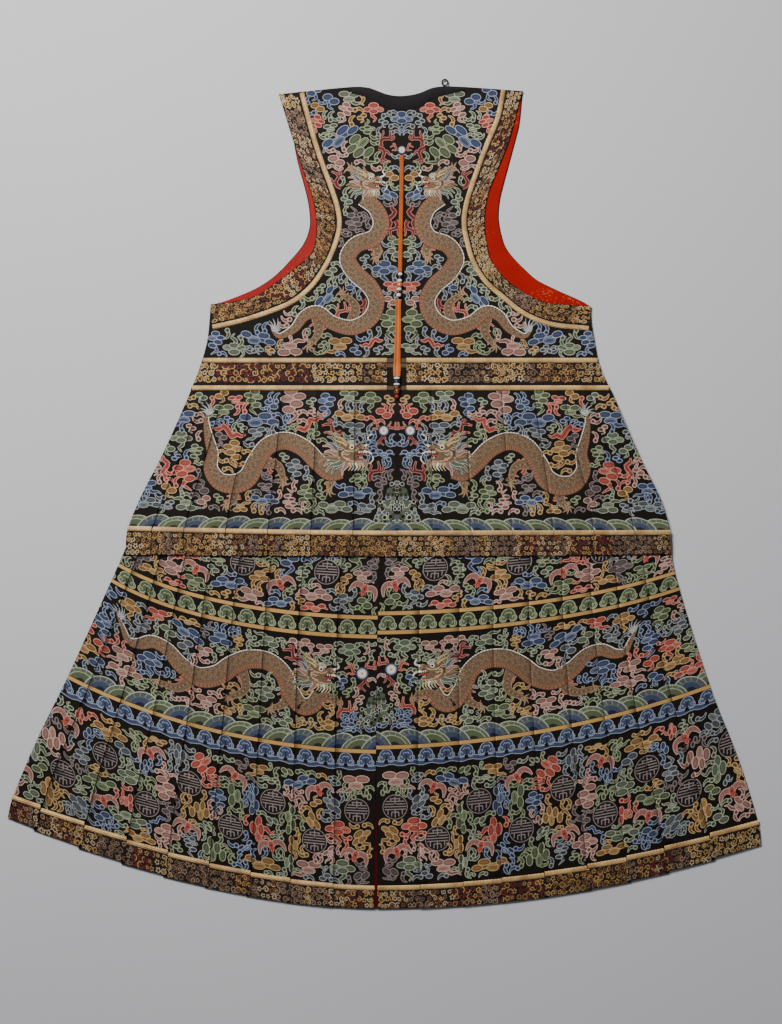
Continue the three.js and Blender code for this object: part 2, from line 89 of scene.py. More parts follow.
class Table:
  """Rows of named sizes. The first column is the key, and the others are read on a smooth line."""

  def __init__(self, columns, *rows):
    self.names = columns.split()
    self.columns = {n: np.array([r[k] for r in rows], float) for k, n in enumerate(self.names)}

  def at(self, name, where):
    keys, values = self.columns[self.names[0]], self.columns[name]
    last = len(keys) - 1
    rows = np.arange(last + 1)
    before, after = np.maximum(rows - 1, 0), np.minimum(rows + 1, last)
    slope = (values[after] - values[before]) / (keys[after] - keys[before])
    where = np.asarray(where, float)
    i = np.clip(np.searchsorted(keys, where) - 1, 0, last - 1)
    span = keys[i + 1] - keys[i]
    s = np.clip((where - keys[i]) / span, 0, 1)
    s2, s3 = s * s, s * s * s
    ends = values[i] * (2 * s3 - 3 * s2 + 1) + values[i + 1] * (3 * s2 - 2 * s3)
    return ends + span * (slope[i] * (s3 - 2 * s2 + s) + slope[i + 1] * (s3 - s2))

  def line(self, steps):
    """Points down and half on a smooth line through the rows, and the unit normal at each."""
    rows = np.arange(len(self.columns["down"]))
    by_row = Table("row down half", *zip(rows, self.columns["down"], self.columns["half"]))

    def read(t):
      return pair(by_row.at("down", t), by_row.at("half", t))

    last, near = rows[-1], 0.05
    t = np.linspace(0, last, steps + 1)
    way = read(np.minimum(t + near, last)) - read(np.maximum(t - near, 0))
    way /= np.linalg.norm(way, axis=1)[:, None]
    return read(t), pair(-way[:, 1], way[:, 0])


CLOTH = 1.0
SEAM = 0.3
HALF_SEAM = SEAM / 2
LIFT = 0.05  # how far a trim lies over its cloth
BODICE_CLOTH = 1.4
LINING_CLOTH = 1.0
BAND_CLOTH = 0.8
WAIST_CLOTH = 2.3
FOLD = 2.0
UNDER_FOLD = 0.7
PIPING_WIDTH = 8
HEM_PIPING_HEIGHT, PIPING_HEIGHT = 1.3, 1.45
PIPING_RIM, PIPING_UNDER = 0.15, -0.1
WAIST_TOP, WAIST_LINE = 459, 505
TIER_SEAM, TIER_HEM = 747, 782
SKIRT_SEAM, SKIRT_HEM = 1340, 1370
TIER_DROP = 2.0
SIDE_EASE, LINING_EASE = 2, 3.5
UPPER_PIPING, LOWER_PIPING = 454.5, 500.5
STRIP_SIDE = {"left": 25.15, "right": 8.15}  # from the centre line to where each waist band starts
OPENING_HALF = 7
WAYS = {"left": -1, "right": 1}

BACK_ARMHOLE = {
    "left": Table("down half", (10, 205), (60, 190), (90, 180.5), (135, 166), (166, 155), (197, 146),
                  (227, 142.5), (254, 144), (277, 152), (301, 179), (324, 209), (346, 242), (356, 279),
                  (361, 319)),
    "right": Table("down half", (5, 202), (45, 191), (89, 179), (137, 160), (175, 145), (209, 139),
                   (239, 139), (269, 144), (292, 152), (323, 179), (354, 229), (361, 272), (364, 316)),
}
ARMHOLE_PIPING = {
    "left": Table("down half", (8, 167), (65, 152), (114, 137), (160, 120), (197, 108), (227, 104),
                  (256, 110), (292, 125), (328, 149), (354, 179), (370, 213), (387, 264), (399, 316)),
    "right": Table("down half", (3, 170), (50, 160), (99, 140), (157, 119), (197, 107), (227, 104),
                   (256, 109), (289, 119), (323, 140), (351, 172), (376, 204), (394, 249), (401, 312)),
}
FRONT_ARMHOLE = {
    "left": Table("down half", (10, 203), (60, 188), (119, 177), (179, 161), (209, 156), (232, 156),
                  (254, 163), (271, 174), (287, 188), (304, 204), (321, 224), (337, 251), (354, 293),
                  (361, 317)),
    "right": Table("down half", (5, 204), (57, 199), (87, 192), (154, 174), (187, 166), (220, 164),
                   (254, 171), (271, 179), (287, 192), (304, 209), (321, 229), (337, 261), (354, 299),
                   (364, 317)),
}
SIDE_SEAM = Table("down left right", (361, 319, 316), (388, 321, 316), (424, 325, 322),
                  (459, 335, 329), (482, 343, 338), (505, 353, 349))
BACK_NECK = Table("x down", (-205, 10), (-84, -2), (-57, -1), (-42, 4), (-26, 10), (-8, 13),
                  (12, 12), (30, 8), (53, -1), (84, -3), (203, 5))
FRONT_NECK = Table("x down", (-205, 10), (-84, 0), (-58, 3), (-48, 44), (-30, 78), (-7, 92),
                   (7, 92), (30, 78), (48, 44), (58, 3), (84, 0), (203, 5))
TIER = Table("down axis left right", (505, -8, 344, 358), (563, -8, 368, 382), (622, -8, 394, 408),
             (688, -8, 427, 440), (747, -8, 450, 456), (782, -8, 453, 457))
TIER_HANG = Table("down left right bend_left bend_right", (505, 0, 0, 1.7, 1.7),
                  (747, 8, 1, 1.7, 1.7), (782, 3, 4, 1.7, 1.7))
SKIRT = Table("down axis left right", (505, -8, 341, 355), (655, -20, 376, 415),
              (789, -33, 409, 474), (884, -40, 433, 497), (1108, -43, 515, 560),
              (1240, -43, 571, 609), (1340, -43, 608, 639), (1370, -43, 615, 643))
SKIRT_HANG = Table("down left right bend_left bend_right", (505, 0, 0, 1.7, 1.7),
                   (655, 37, 30, 1.7, 1.7), (884, 88, 69, 1.7, 1.7), (1108, 125, 103, 1.7, 1.7),
                   (1340, 154, 112, 1.72, 1.95), (1370, 154, 109, 1.85, 2.1))
TIER_FOLDS = {"left": (74, 145, 217, 288, 358, 412), "right": (60, 124, 193, 262, 330, 398)}
SKIRT_FOLDS = {"left": (70, 142, 209, 279, 349, 419, 491, 566),
               "right": (72, 144, 209, 281, 353, 419, 483, 560)}

BODICE_LOW = CLOTH + SEAM + LINING_CLOTH + SEAM
BODICE_HIGH = BODICE_LOW + BODICE_CLOTH
WAIST_HIGH = BODICE_LOW + WAIST_CLOTH

# ---- dyed threads ----
# Red, green and blue from 0 to 255, and the share of gilt where there is any. A dye has a pale and a
# deep tone beside its own.
DYED = {
    "sage": ((84, 94, 76), (158, 164, 134), (34, 40, 32)),
    "leaf": ((78, 88, 60), (150, 160, 120), (32, 38, 26)),
    "blue": ((54, 64, 94), (136, 148, 170), (26, 30, 50)),
    "slate": ((72, 78, 86), (148, 152, 150), (34, 38, 46)),
    "pink": ((140, 96, 86), (196, 160, 144), (76, 38, 36)),
    "coral": ((162, 64, 52), (198, 134, 114), (90, 26, 26)),
    "wine": ((116, 36, 38), (176, 112, 98), (56, 18, 22)),
    "ochre": ((132, 92, 48), (190, 156, 100), (72, 44, 22)),
    "lilac": ((82, 70, 70), (134, 118, 114), (24, 19, 21)),
    "dragon": ((112, 86, 62, 0.3), (152, 124, 92, 0.4), (72, 50, 36, 0.3)),
}
THREADS = {
    "black": (18, 11, 6), "white": (218, 212, 196), "umber": (26, 19, 17), "silver": (160, 168, 182, 0.1),
    "dun": (88, 66, 48, 0.2), "belly": (142, 92, 64, 0.3), "gold": (192, 150, 90, 0.9),
    "gold_deep": (136, 94, 62, 0.7), "straw": (208, 180, 140, 0.7), "bronze": (126, 98, 78, 0.6),
    "rose_gold": (160, 130, 106, 0.6),
}
for name, tones in DYED.items():
  THREADS.update(zip((name, name + "_pale", name + "_deep"), tones))
NUMBER = {name: k for k, name in enumerate(THREADS)}


def linear(value):
  c = value / 255
  return c / 12.92 if c <= 0.04045 else ((c + 0.055) / 1.055) ** 2.4


def aged(r, g, b, gilt=0):
  """The dye's colour after long keeping: a little greyer than new. Gilt thread keeps its colour."""
  grey = 0.3 * r + 0.5 * g + 0.2 * b
  fading = 0.16 if gilt < 0.5 else 0
  return [linear(c + (grey - c) * fading) for c in (r, g, b)] + [gilt]


DYES = np.array([aged(*thread) for thread in THREADS.values()])

# ---- drawing on the loom ----
# A design lies in its panel's own plane: s from the centre line, t down from the shoulders.
def area_of(points):
  """The area in an outline, less than nothing if it is drawn clockwise."""
  after = np.roll(points, -1, axis=0)
  return (points[:, 0] * after[:, 1] - after[:, 0] * points[:, 1]).sum() / 2


def turned(points):
  """The same outline, anticlockwise."""
  points = np.asarray(points, float)
  return points if area_of(points) > 0 else points[::-1]


def smooth(points, spacing):
  """Points about one spacing apart on a smooth line through the given ones, any columns."""
  p = np.asarray(points, float)
  ends = np.vstack([2 * p[0] - p[1], p, 2 * p[-1] - p[-2]])
  out = []
  for k in range(len(p) - 1):
    a, b, c, d = ends[k:k + 4]
    n = max(2, int(np.linalg.norm((c - b)[:2]) / spacing + 0.5))
    u = (np.arange(n) / n)[:, None]
    out.append(0.5 * (2 * b + (c - a) * u + (2 * a - 5 * b + 4 * c - d) * u**2
                      + (3 * b - a - 3 * c + d) * u**3))
  return np.vstack([*out, p[-1:]])


def normals(line):
  way = np.gradient(np.asarray(line, float), axis=0)
  way /= np.maximum(np.linalg.norm(way, axis=1), 1e-9)[:, None]
  return pair(-way[:, 1], way[:, 0])


class Design:
  """Flat figures, later ones over earlier ones, and the round places that they take up."""

  def __init__(self):
    self.figures = []
    self.taken = []

  def shape(self, points, thread):
    self.figures.append((turned(points), NUMBER[thread]))

  def stroke(self, line, half, thread):
    """A line of thread, as wide as half says to each side, a number or one for each point."""
    line = np.asarray(line, float)
    off = normals(line) * np.broadcast_to(half, len(line))[:, None]
    left, right = line + off, line - off
    for a, b, c, d in zip(left[:-1], right[:-1], right[1:], left[1:]):
      if cross(a, b, c) > 1e-4 and cross(a, c, d) > 1e-4:
        self.figures.append((np.array([a, b, c, d]), NUMBER[thread]))
      elif cross(a, b, c) < -1e-4 and cross(a, c, d) < -1e-4:
        self.figures.append((np.array([d, c, b, a]), NUMBER[thread]))

  def disc(self, s, t, radius, thread, sides=9):
    a = np.arange(sides) * 2 * math.pi / sides
    self.shape(pair(s + radius * np.cos(a), t + radius * np.sin(a)), thread)

  def take(self, line, radius):
    """Keeps other figures off these places."""
    line = np.atleast_2d(line)
    self.taken += [(*p, r) for p, r in zip(line, np.broadcast_to(radius, len(line)))]


def cross(a, b, c):
  return (b[0] - a[0]) * (c[1] - a[1]) - (b[1] - a[1]) * (c[0] - a[0])


def polar(degrees, reach=1.0):
  a = math.radians(degrees)
  return np.array([math.cos(a), math.sin(a)]) * reach


def left_of(way):
  return np.array([-way[1], way[0]])


class Stamp:
  """Draws a motif made round its own middle, x to the right and y up, at a place on the design."""

  def __init__(self, design, s, t, size=1.0, turn=0.0, flip=False):
    self.design, self.s, self.t, self.size, self.flip = design, s, t, size, flip
    self.cos, self.sin = math.cos(math.radians(turn)), math.sin(math.radians(turn))

  def at(self, points):
    p = np.array(points, float).reshape(-1, 2)
    x, y = (-p[:, 0] if self.flip else p[:, 0]), p[:, 1]
    x, y = self.cos * x - self.sin * y, self.sin * x + self.cos * y
    return pair(self.s + self.size * x, self.t - self.size * y)

  def shape(self, points, thread):
    self.design.shape(self.at(points), thread)

  def stroke(self, line, half, thread):
    self.design.stroke(self.at(line), np.asarray(half) * self.size, thread)

  def taper(self, path, start, end, thread):
    """A line that is start wide to each side at first, and end at last."""
    self.stroke(path, np.linspace(start, end, len(path)), thread)

  def disc(self, x, y, radius, thread, sides=9):
    (s, t), = self.at([(x, y)])
    self.design.disc(s, t, radius * self.size, thread, sides)

  def take(self, points, radius):
    self.design.take(self.at(points), np.asarray(radius) * self.size)


# ---- motifs ----
# A cloud is a ribbon of places x, y and radius, under puffs of x, y, reach to the sides and radius.
CLOUDS = {
    "tower": (((-2, 12, 3.2), (3, 3, 3.4), (-2, -6, 3.4), (5, -13, 2.6), (-1, -19, 1.8), (-7, -24, 0.6)),
              ((-3, 18, 4.6, 5), (8, 11.5, 4, 4.7), (-8, 8, 4.6, 4.8), (4, 2, 5.4, 4.8),
               (-6, -6, 4.6, 4.8))),
    "pair": (((-7, 4, 3.4), (2, -3, 3.6), (10, -9, 2.8), (18, -8, 1.8), (24, -12, 0.7)),
             ((-9, 7, 4.8, 5), (7, 6, 4.8, 5), (-1, -2, 5.6, 4.8))),
    "head": (((0, 2, 4), (-3, -9, 3), (4, -14, 2.2), (-1, -21, 0.8)),
             ((0, 10, 4.6, 5.4), (-11, 2.5, 3.8, 4.8), (11, 2.5, 3.8, 4.8), (0, -1, 4.2, 4.8))),
    "drift": (((-20, -3, 3), (-8, 0, 3.6), (6, 0, 3.6), (17, 3, 3), (27, -2, 0.8)),
              ((-19, -2, 3.8, 4.6), (-9, 5.5, 4.6, 4.8), (3, -3, 5.4, 4.8), (15, 4, 4.2, 4.6))),
    "wave": (((-19, 8, 0.8), (-12, 5, 3), (-5, 8, 3.4), (0, 1, 3.4), (3, -7, 3.4), (10, -5, 3),
              (15, -9, 2), (21, -7, 0.7)), ()),
    "small": (((1, 0, 3), (-3, -8, 2.2), (4, -12, 0.7)), ((-4, 5, 3.8, 4.6), (5, -1, 3.8, 4.6))),
    "curl": (((-4, 1, 2.6), (1, -1, 2.6), (6, 2, 1.8), (8, 7, 0.7)), ((-5, 1, 0.6, 3.4),)),
}


def cloud_room(kind):
  """Round places that cover a cloud: x, y and radius."""
  ribbon, puffs = CLOUDS[kind]
  return np.array([*ribbon, *((x + side * reach, y, r) for x, y, reach, r in puffs for side in (-1, 1))])


def puff(stamp, x, y, reach, r, thread):
  """An oval, wider than it is high, with a flat crown and a dent where the next puff lies."""
  a = (np.arange(12) + 0.5) * math.pi / 6
  dent = 1 - 0.1 * np.exp(-((np.sin(a) + 1) * 4) ** 2) + 0.06 * np.cos(2 * a + 0.7 * x)
  across = x + (0.8 * reach + 0.98 * r) * np.cos(a) * dent
  stamp.shape(pair(across, y + 1.06 * r * np.sin(a) * dent), thread)


def cloud(stamp, dye, kind):
  ribbon, puffs = CLOUDS[kind]
  line = 1.0 / stamp.size
  path = smooth(ribbon, 3.6)
  for grow, thread in ((0.3, "_pale"), (-0.7, "")):
    stamp.stroke(path[:, :2], np.maximum(path[:, 2] + grow * line, 0.3), dye + thread)
  if stamp.size > 0.9:
    stamp.stroke(path[1:-2, :2], 0.5 * line, dye + "_deep")
  for k, (x, y, reach, r) in enumerate(puffs):
    ring = "_pale" if k % 3 == 2 else "_deep"
    for inner, thread in ((-0.4, "_pale"), (0.75, ""), (2.3, ring), (2.9, "")):
      if r - inner * line > 0.8:
        puff(stamp, x, y, reach, r - inner * line, dye + thread)
  room = cloud_room(kind)
  stamp.take(room[:, :2], room[:, 2])


def set_clouds(design, *rows):
  """Clouds set one by one where there is room: s, t, kind and dye, then size and turn if not 1 and 0."""
  for row in rows:
    s, t, kind, dye, size, turn = row + (1.0, 0)[len(row) - 4:]
    cover = cloud_room(kind)
    for share in (1.0, 0.88, 0.76):
      stamp = Stamp(design, s, t, size * share, turn, s % 2)
      places = np.column_stack([stamp.at(cover[:, :2]), cover[:, 2] * size * share])
      if all(math.hypot(s0 - s1, t0 - t1) > r0 + r1 - 2.0
             for s0, t0, r0 in places for s1, t1, r1 in design.taken):
        cloud(stamp, dye, kind)
        break


def shou(stamp):
  """A roundel of straight bars in a ring."""
  radius = 21.0
  stamp.disc(0, 0, radius, "lilac_pale", 22)
  stamp.disc(0, 0, radius - 1.3, "lilac_deep", 22)
  bars = []
  for y, reach, gap in ((14, 0.7, 0), (9.5, 0.95, 0), (5, 0.95, 1.8), (0.5, 0.98, 0), (-4, 0.95, 0)):
    half = reach * math.sqrt((radius - 2.2) ** 2 - y * y)
    bars += [(-half, -gap, y, y), (gap, half, y, y)] if gap else [(-half, half, y, y)]
  bars += [(0, 0, 17.5, 5), (0, 0, -4, -17.5), (-6, -6, -8.5, -15.5), (6, 6, -8.5, -15.5),
           (-12, -12, -4, -12.5), (12, 12, -4, -12.5), (-6, -0.5, -8.5, -8.5), (0.5, 6, -8.5, -8.5),
           (-7, -7, 9.5, 14), (7, 7, 9.5, 14)]
  for x0, x1, y0, y1 in bars:
    stamp.stroke([(x0, y0), (x1, y1)], 0.85, "lilac_pale")
  stamp.take([(0, 0)], radius + 0.5)


def bat(stamp):
  """A bat with its wings swept, nose up."""
  wing = smooth([(1, 0, 3.2), (8, 6, 4), (16, 5, 3.8), (21, -2, 2.6), (23, -12, 0.5)], 3)
  for grow, thread in ((0.9, "pink_pale"), (-0.1, "pink")):
    for side in (-1, 1):
      stamp.stroke(wing[:, :2] * (side, 1), wing[:, 2] + grow, thread)
  for side in (-1, 1):
    for x, y in ((9, 2), (14, 2), (19, -1)):
      stamp.stroke([(side * x, y + 6), (side * (x + 1), y - 2)], 0.6, "coral")
  body = smooth([(0, 9, 2.6), (0.2, 3, 4.2), (0, -4, 3.4), (0, -11, 0.5)], 3)
  stamp.stroke(body[:, :2], body[:, 2] + 0.9, "coral_pale")
  stamp.stroke(body[:, :2], body[:, 2], "coral")
  for x in (-2, 2):
    stamp.disc(x, 8.6, 1.6, "coral_pale", 6)
    stamp.stroke([(x, -3), (3 * x, -9)], 1.1, "coral")
  stamp.disc(0, 1, 1.8, "coral_deep", 6)
  stamp.take([(0, 4), (0, -5), (10, 5), (-10, 5), (19, 2), (-19, 2), (24, -7), (-24, -7)],
             (6, 5, 6, 6, 5, 5, 3, 3))


def flame(stamp, dye="wine"):
  """A licking flame that rises in an S, with a side tongue and a curl."""
  main = smooth([(-2, -17), (4, -11), (3, -3), (-4, 3), (-2, 10), (5, 17)], 2.8)
  side = smooth([(2, -6), (9, -3), (10, 4), (14, 8)], 2.8)
  curl = smooth([(-3, 4), (-9, 5), (-10, 11), (-6, 12)], 2.6)
  for grow, thread in ((0.9, dye + "_pale"), (-0.2, dye)):
    for tongue, root, tip in ((main, 3.4, 0.8), (side, 2.4, 0.5), (curl, 2.2, 0.9)):
      stamp.stroke(tongue, np.linspace(root, tip, len(tongue)) + grow, thread)
  stamp.stroke(main[2:-2], 0.5, dye + "_deep")
  stamp.take(main[::2], 4.2)
  stamp.take([(9, 0), (13, 6), (-9, 8)], 3.4)


def pearl(stamp):
  """A pearl in a ring, with three flames about it."""
  radius = 9.0
  for turn, dye in ((20, "coral"), (140, "coral"), (265, "wine")):
    (s, t), = stamp.at([polar(turn, 13)])
    flame(Stamp(stamp.design, s, t, 0.6 * stamp.size, turn - 90), dye)
  for share, thread in ((1.0, "blue_deep"), (0.9, "blue"), (0.74, "slate_pale"), (0.56, "white"),
                        (0.2, "coral_pale")):
    stamp.disc(0, 0, radius * share, thread, 14)
  stamp.take([(0, 0)], radius + 1.5)


def ruyi(stamp, dye):
  """A mushroom-shaped cloud head with a curl at each side."""
  for grow, thread in ((1.2, dye + "_pale"), (0, dye)):
    stamp.disc(0, 1.4, 8.8 + grow, thread, 16)
    for side in (-1, 1):
      stamp.disc(side * 7.0, -2.6, 4.4 + grow, thread, 11)
  stamp.shape([(-3.6, -10), (-2, -4.6), (2, -4.6), (3.6, -10)], "black")
  for side in (-1, 1):
    curl = smooth(np.array([(2.0, -3.6), (4.2, -6.0), (8.2, -5.4), (9.8, -2.2), (7.8, 0.6),
                            (5.4, -0.8), (6.4, -3.0)]) * (side, 1), 1.8)
    stamp.stroke(curl, 0.55, dye + "_pale")
  stamp.stroke(smooth([(-4.8, 3), (-2.6, 6), (0, 4.6), (2.6, 6), (4.8, 3)], 2.4), 0.5, dye + "_pale")
  stamp.stroke([(0, -3.6), (0, 3)], 0.8, dye + "_deep")


WAVE_BANDS = (((1.0, "sage_pale"), (0.93, "slate"), (0.68, "sage"), (0.6, "blue"), (0.3, "blue_deep")),
              ((1.0, "sage_pale"), (0.93, "sage"), (0.72, "leaf_pale"), (0.66, "leaf"), (0.28, "sage_deep")))


def wave_border(design, foot, height, pitch, end):
  """Standing waves, one over the next towards the centre, sage and blue by turns."""
  for k in range(int(end / pitch) + 2, -1, -1):
    tall = height * (1, 0.9, 0.96, 0.86)[k % 4]

    def on_wave(share, angle):
      y = tall * share * np.sin(angle) ** 0.85
      return pair(k * pitch + 0.8 * pitch * share * np.cos(angle) - 0.5 * y, foot - y)

    for share, thread in WAVE_BANDS[k % 2]:
      line = on_wave(share, np.linspace(0, math.pi, 12))
      design.shape(np.vstack([line, [(line[-1, 0], foot + 3), (line[0, 0], foot + 3)]]), thread)
    for ray in np.arange(0.7, 2.6, 0.45):
      design.stroke([on_wave(0.66, ray), on_wave(0.95, ray)], 0.35, ("slate_pale", "leaf_pale")[k % 2])


def gold_line(design, t, end, half=3.1):
  for grow, thread in ((0.9, "black"), (0, "gold")):
    steps = np.arange(-4, end + 20, 20.0)
    design.stroke(pair(steps, np.full(len(steps), t)), half + grow, thread)


def ruyi_row(design, dye, t, pitch, end, linked, size):
  if linked:
    steps = np.arange(-4, end + 8, 8.25)
    line = pair(steps, t + 10.5 + 1.6 * np.sin(steps * 2 * math.pi / pitch))
    design.stroke(line, 4.2, dye + "_pale")
    design.stroke(line, 3.0, dye)
  for k in range(int(end / pitch) + 1):
    ruyi(Stamp(design, (k + 0.5) * pitch, t, size), dye)


def foam(stamp, seed=0):
  """Drops of spray thrown up by a wave."""
  rnd = random.Random(seed)
  for _ in range(9):
    x, y, r = rnd.uniform(-14, 14), rnd.uniform(-7, 9), rnd.uniform(1.3, 2.6)
    stamp.disc(x, y, r + 0.7, "slate_pale", 7)
    stamp.disc(x, y, r - 0.3, rnd.choice(("sage", "slate", "black")), 6)


def rock(stamp):
  """A rock that rises from the sea in three heaps of small lobes."""
  rnd = random.Random(8)
  for x, top, wide in ((-16, 14, 8), (16, 14, 8), (0, 42, 13)):
    for y in np.arange(-14, top, 5.4):
      half = wide * (1 - 0.75 * (y + 14) / (top + 14))
      for q in np.linspace(-1, 1, 2 + int(half > 5) + int(half > 9)):
        at = x + q * half + rnd.uniform(-1.6, 1.6), y + rnd.uniform(-1.5, 1.5)
        r = rnd.uniform(2.4, 4.4)
        stamp.disc(*at, r, rnd.choice(("sage_pale", "slate_pale", "leaf", "lilac_pale")), 7)
        stamp.disc(*at, r - 1.1, rnd.choice(("sage", "slate", "black", "sage_deep")), 6)
  stamp.take([(-17, -6), (17, -6), (-16, 8), (16, 8), (0, 4), (0, 22), (0, 36)], (10, 10, 8, 8, 14, 11, 8))


def claw(stamp):
  """An open foot of five claws, palm at the middle."""
  for turn in (-84, -42, -2, 38, 150):
    tip = polar(90 - turn)
    path = smooth([(0, 0), tip * 5.5 + left_of(tip) * 1.8, tip * 11.5], 3)
    stamp.taper(path, 2.9, 0.9, "dragon_deep")
    stamp.taper(path, 2.1, 0.3, "dragon_pale")
  stamp.disc(0, 0, 3.6, "dragon_pale", 8)
  stamp.disc(0, 0, 1.6, "coral", 6)
  stamp.take([(0, 0), (0, 6)], 7.5)


def tuft(stamp):
  """The spread pale hairs at the end of a tail."""
  for k, turn in enumerate((-62, -42, -20, 0, 22, 44, 64)):
    tip = polar(90 - turn, 22 - abs(turn) * 0.12)
    path = smooth([(0, 0), tip * 0.5 + left_of(tip) * 0.2, tip], 4)
    stamp.taper(path, 1.9, 0.3, ("slate_pale", "silver", "sage_pale")[k % 3])
  stamp.take([(0, 5), (0, 14)], (6, 8))


# The locks of the mane: where each grows, its turn from upright and its length.
MANE = ((12, 15, -25, 15), (15, 12, -50, 17), (17, 5, -72, 18), (18, -2, -92, 19), (16, -9, -112, 18),
        (11, -14, -135, 16), (4, -15, -160, 13), (7, 17, -8, 12), (14, 14, -38, 20), (17, 8, -62, 14),
        (18, 1, -82, 14), (17, -6, -102, 22), (13, -12, -124, 20))


def dragon_head(stamp):
  """A head in profile, looking to the left, with horns, mane, whiskers and beard."""
  for k, (x, y, turn, reach) in enumerate(MANE):
    root, tip = np.array([x, y]), polar(90 + turn, reach)
    path = smooth([root * 0.5, root, root + tip * 0.5 + left_of(tip) * 0.18, root + tip], 3.5)
    dye = ("sage", "slate", "pink", "dragon")[k % 4]
    stamp.taper(path, 4.4, 0.9, dye + "_pale")
    stamp.taper(path, 3.2, 0.2, dye)
  skull = np.array([(14, 8), (10, 14), (3, 15), (-3, 11), (-9, 9.5), (-15, 12.5), (-20, 11.5), (-22, 7),
                    (-18, 4), (-12, 3), (-8, 0.5), (-12, -4), (-18, -4.5), (-19, -8), (-13, -11.5),
                    (-4, -11.5), (4, -9.5), (11, -8), (15, -1)])
  stamp.shape(skull * 1.08, "dragon_pale")
  stamp.shape(skull * 0.98, "dragon")
  stamp.shape([(-19, 4), (-12, 3), (-8, 0.5), (-12, -4), (-18, -4.5), (-15, 0)], "coral_deep")
  stamp.stroke(smooth([(-9, -0.6), (-14, -1.4), (-19, 0.4), (-22, -1.5)], 2.4), 0.9, "coral")
  for x in (-18.2, -15.6, -13.0):
    stamp.shape([(x - 1.0, 4.2), (x, 0.9), (x + 1.0, 4.2)], "white")
  for x in (-16.8, -14.2):
    stamp.shape([(x - 0.9, -4.6), (x + 0.9, -4.6), (x, -2.0)], "white")
  stamp.disc(-19.4, 9.2, 2.9, "dragon_pale", 8)
  stamp.disc(-19.8, 9.0, 1.3, "coral_deep", 6)
  for line, half, thread in (
      ([(-10, 13.5), (-5, 17), (2, 16), (7, 17.5)], 1.8, "sage_pale"),
      ([(-12, 8), (-9, 5.2), (-4, 4), (1, 5)], 0.7, "ochre_pale"),
      ([(0, 3.4), (6, 5.5), (9, 0.5), (5.5, -4.5), (-1, -6)], 1.0, "ochre_pale"),
      ([(3, 1), (6, 0.5), (4.5, -2.5)], 0.8, "coral"),
      ([(-1, 14), (-6, 12.4), (-10, 13.6)], 1.4, "pink_pale"),
      ([(-14, 7), (-17, 5.6), (-20, 6.4)], 0.8, "dragon_deep"),
      ([(-16, -8.6), (-9, -9), (-3, -8.4), (4, -7)], 0.8, "coral_pale"),
      ([(10, 10), (12, 4), (11, -3)], 0.8, "dragon_deep"),
  ):
    stamp.stroke(smooth(line, 2.6), half, thread)
  for x, y in ((8, 8), (11, 3), (7, -2), (3, 7), (9, 12), (12, -4), (1, -9), (-6, -8), (-8, 6), (3, 12)):
    stamp.disc(x, y, 1.0, "dragon_deep" if x % 2 else "coral_pale", 5)
  for k in range(9):
    x, y = 9 - 1.6 * k, 9.5 - 2.1 * k * (k < 5) - 9 * (k > 4)
    stamp.stroke([(x, y), (x + 5, y - 1.5)], 0.5, ("slate_pale", "pink_pale", "dragon_deep")[k % 3])
  stamp.disc(-3.6, 9.4, 3.0, "white", 9)
  stamp.disc(-3.9, 9.3, 1.7, "black", 7)
  for lift in (0, 5):
    horn = smooth([(3, 13 - lift / 3), (8, 20 - lift), (17, 23 - lift), (22, 29 - lift)], 3.5)
    stamp.taper(horn, 2.8, 0.9, "dragon_deep")
    stamp.taper(horn, 2.0, 0.3, "ochre_pale")
  for path in ([(-20, 11), (-27, 15), (-24, 22), (-31, 27)], [(-19, 4), (-28, 2), (-31, -6), (-26, -12)]):
    stamp.taper(smooth(path, 3), 1.5, 0.5, "white")
  for k, x in enumerate((-16, -12, -8, -4, 0)):
    beard = smooth([(x, -10.5), (x - 2.4, -16), (x + 1, -21)], 3)
    stamp.taper(beard, 1.8, 0.4, ("sage_pale", "ochre_pale", "white")[k % 3])
  stamp.take([(0, 2), (-12, 4), (-18, 8), (12, 6), (14, -8), (4, -10), (16, 20), (24, -8), (27, 5),
              (-8, -16)], (15, 10, 8, 12, 12, 10, 9, 10, 9, 8))


def scales(design, along, steps, half):
  """Rows of small scales across the body."""
  for k, d in enumerate(np.arange(3, steps[-1] - 6, 3.6)):
    w = np.interp(d, steps, half)
    rows = 3 if w > 10 else 2 if w > 5.5 else 1
    for r in range(rows):
      across = -0.28 + (r + 0.3 + 0.5 * (k % 2)) * 1.14 / rows
      (s, t), way = along(d, across), along(d + 1, across) - along(d - 1, across)
      way = way / max(np.linalg.norm(way), 1e-6) * 1.5
      c = np.array([s, t])
      design.shape([c + way * 0.7, c + left_of(way), c - way * 0.5, c - left_of(way)],
                   "dragon_pale" if (k + r) % 3 else "dragon_deep")


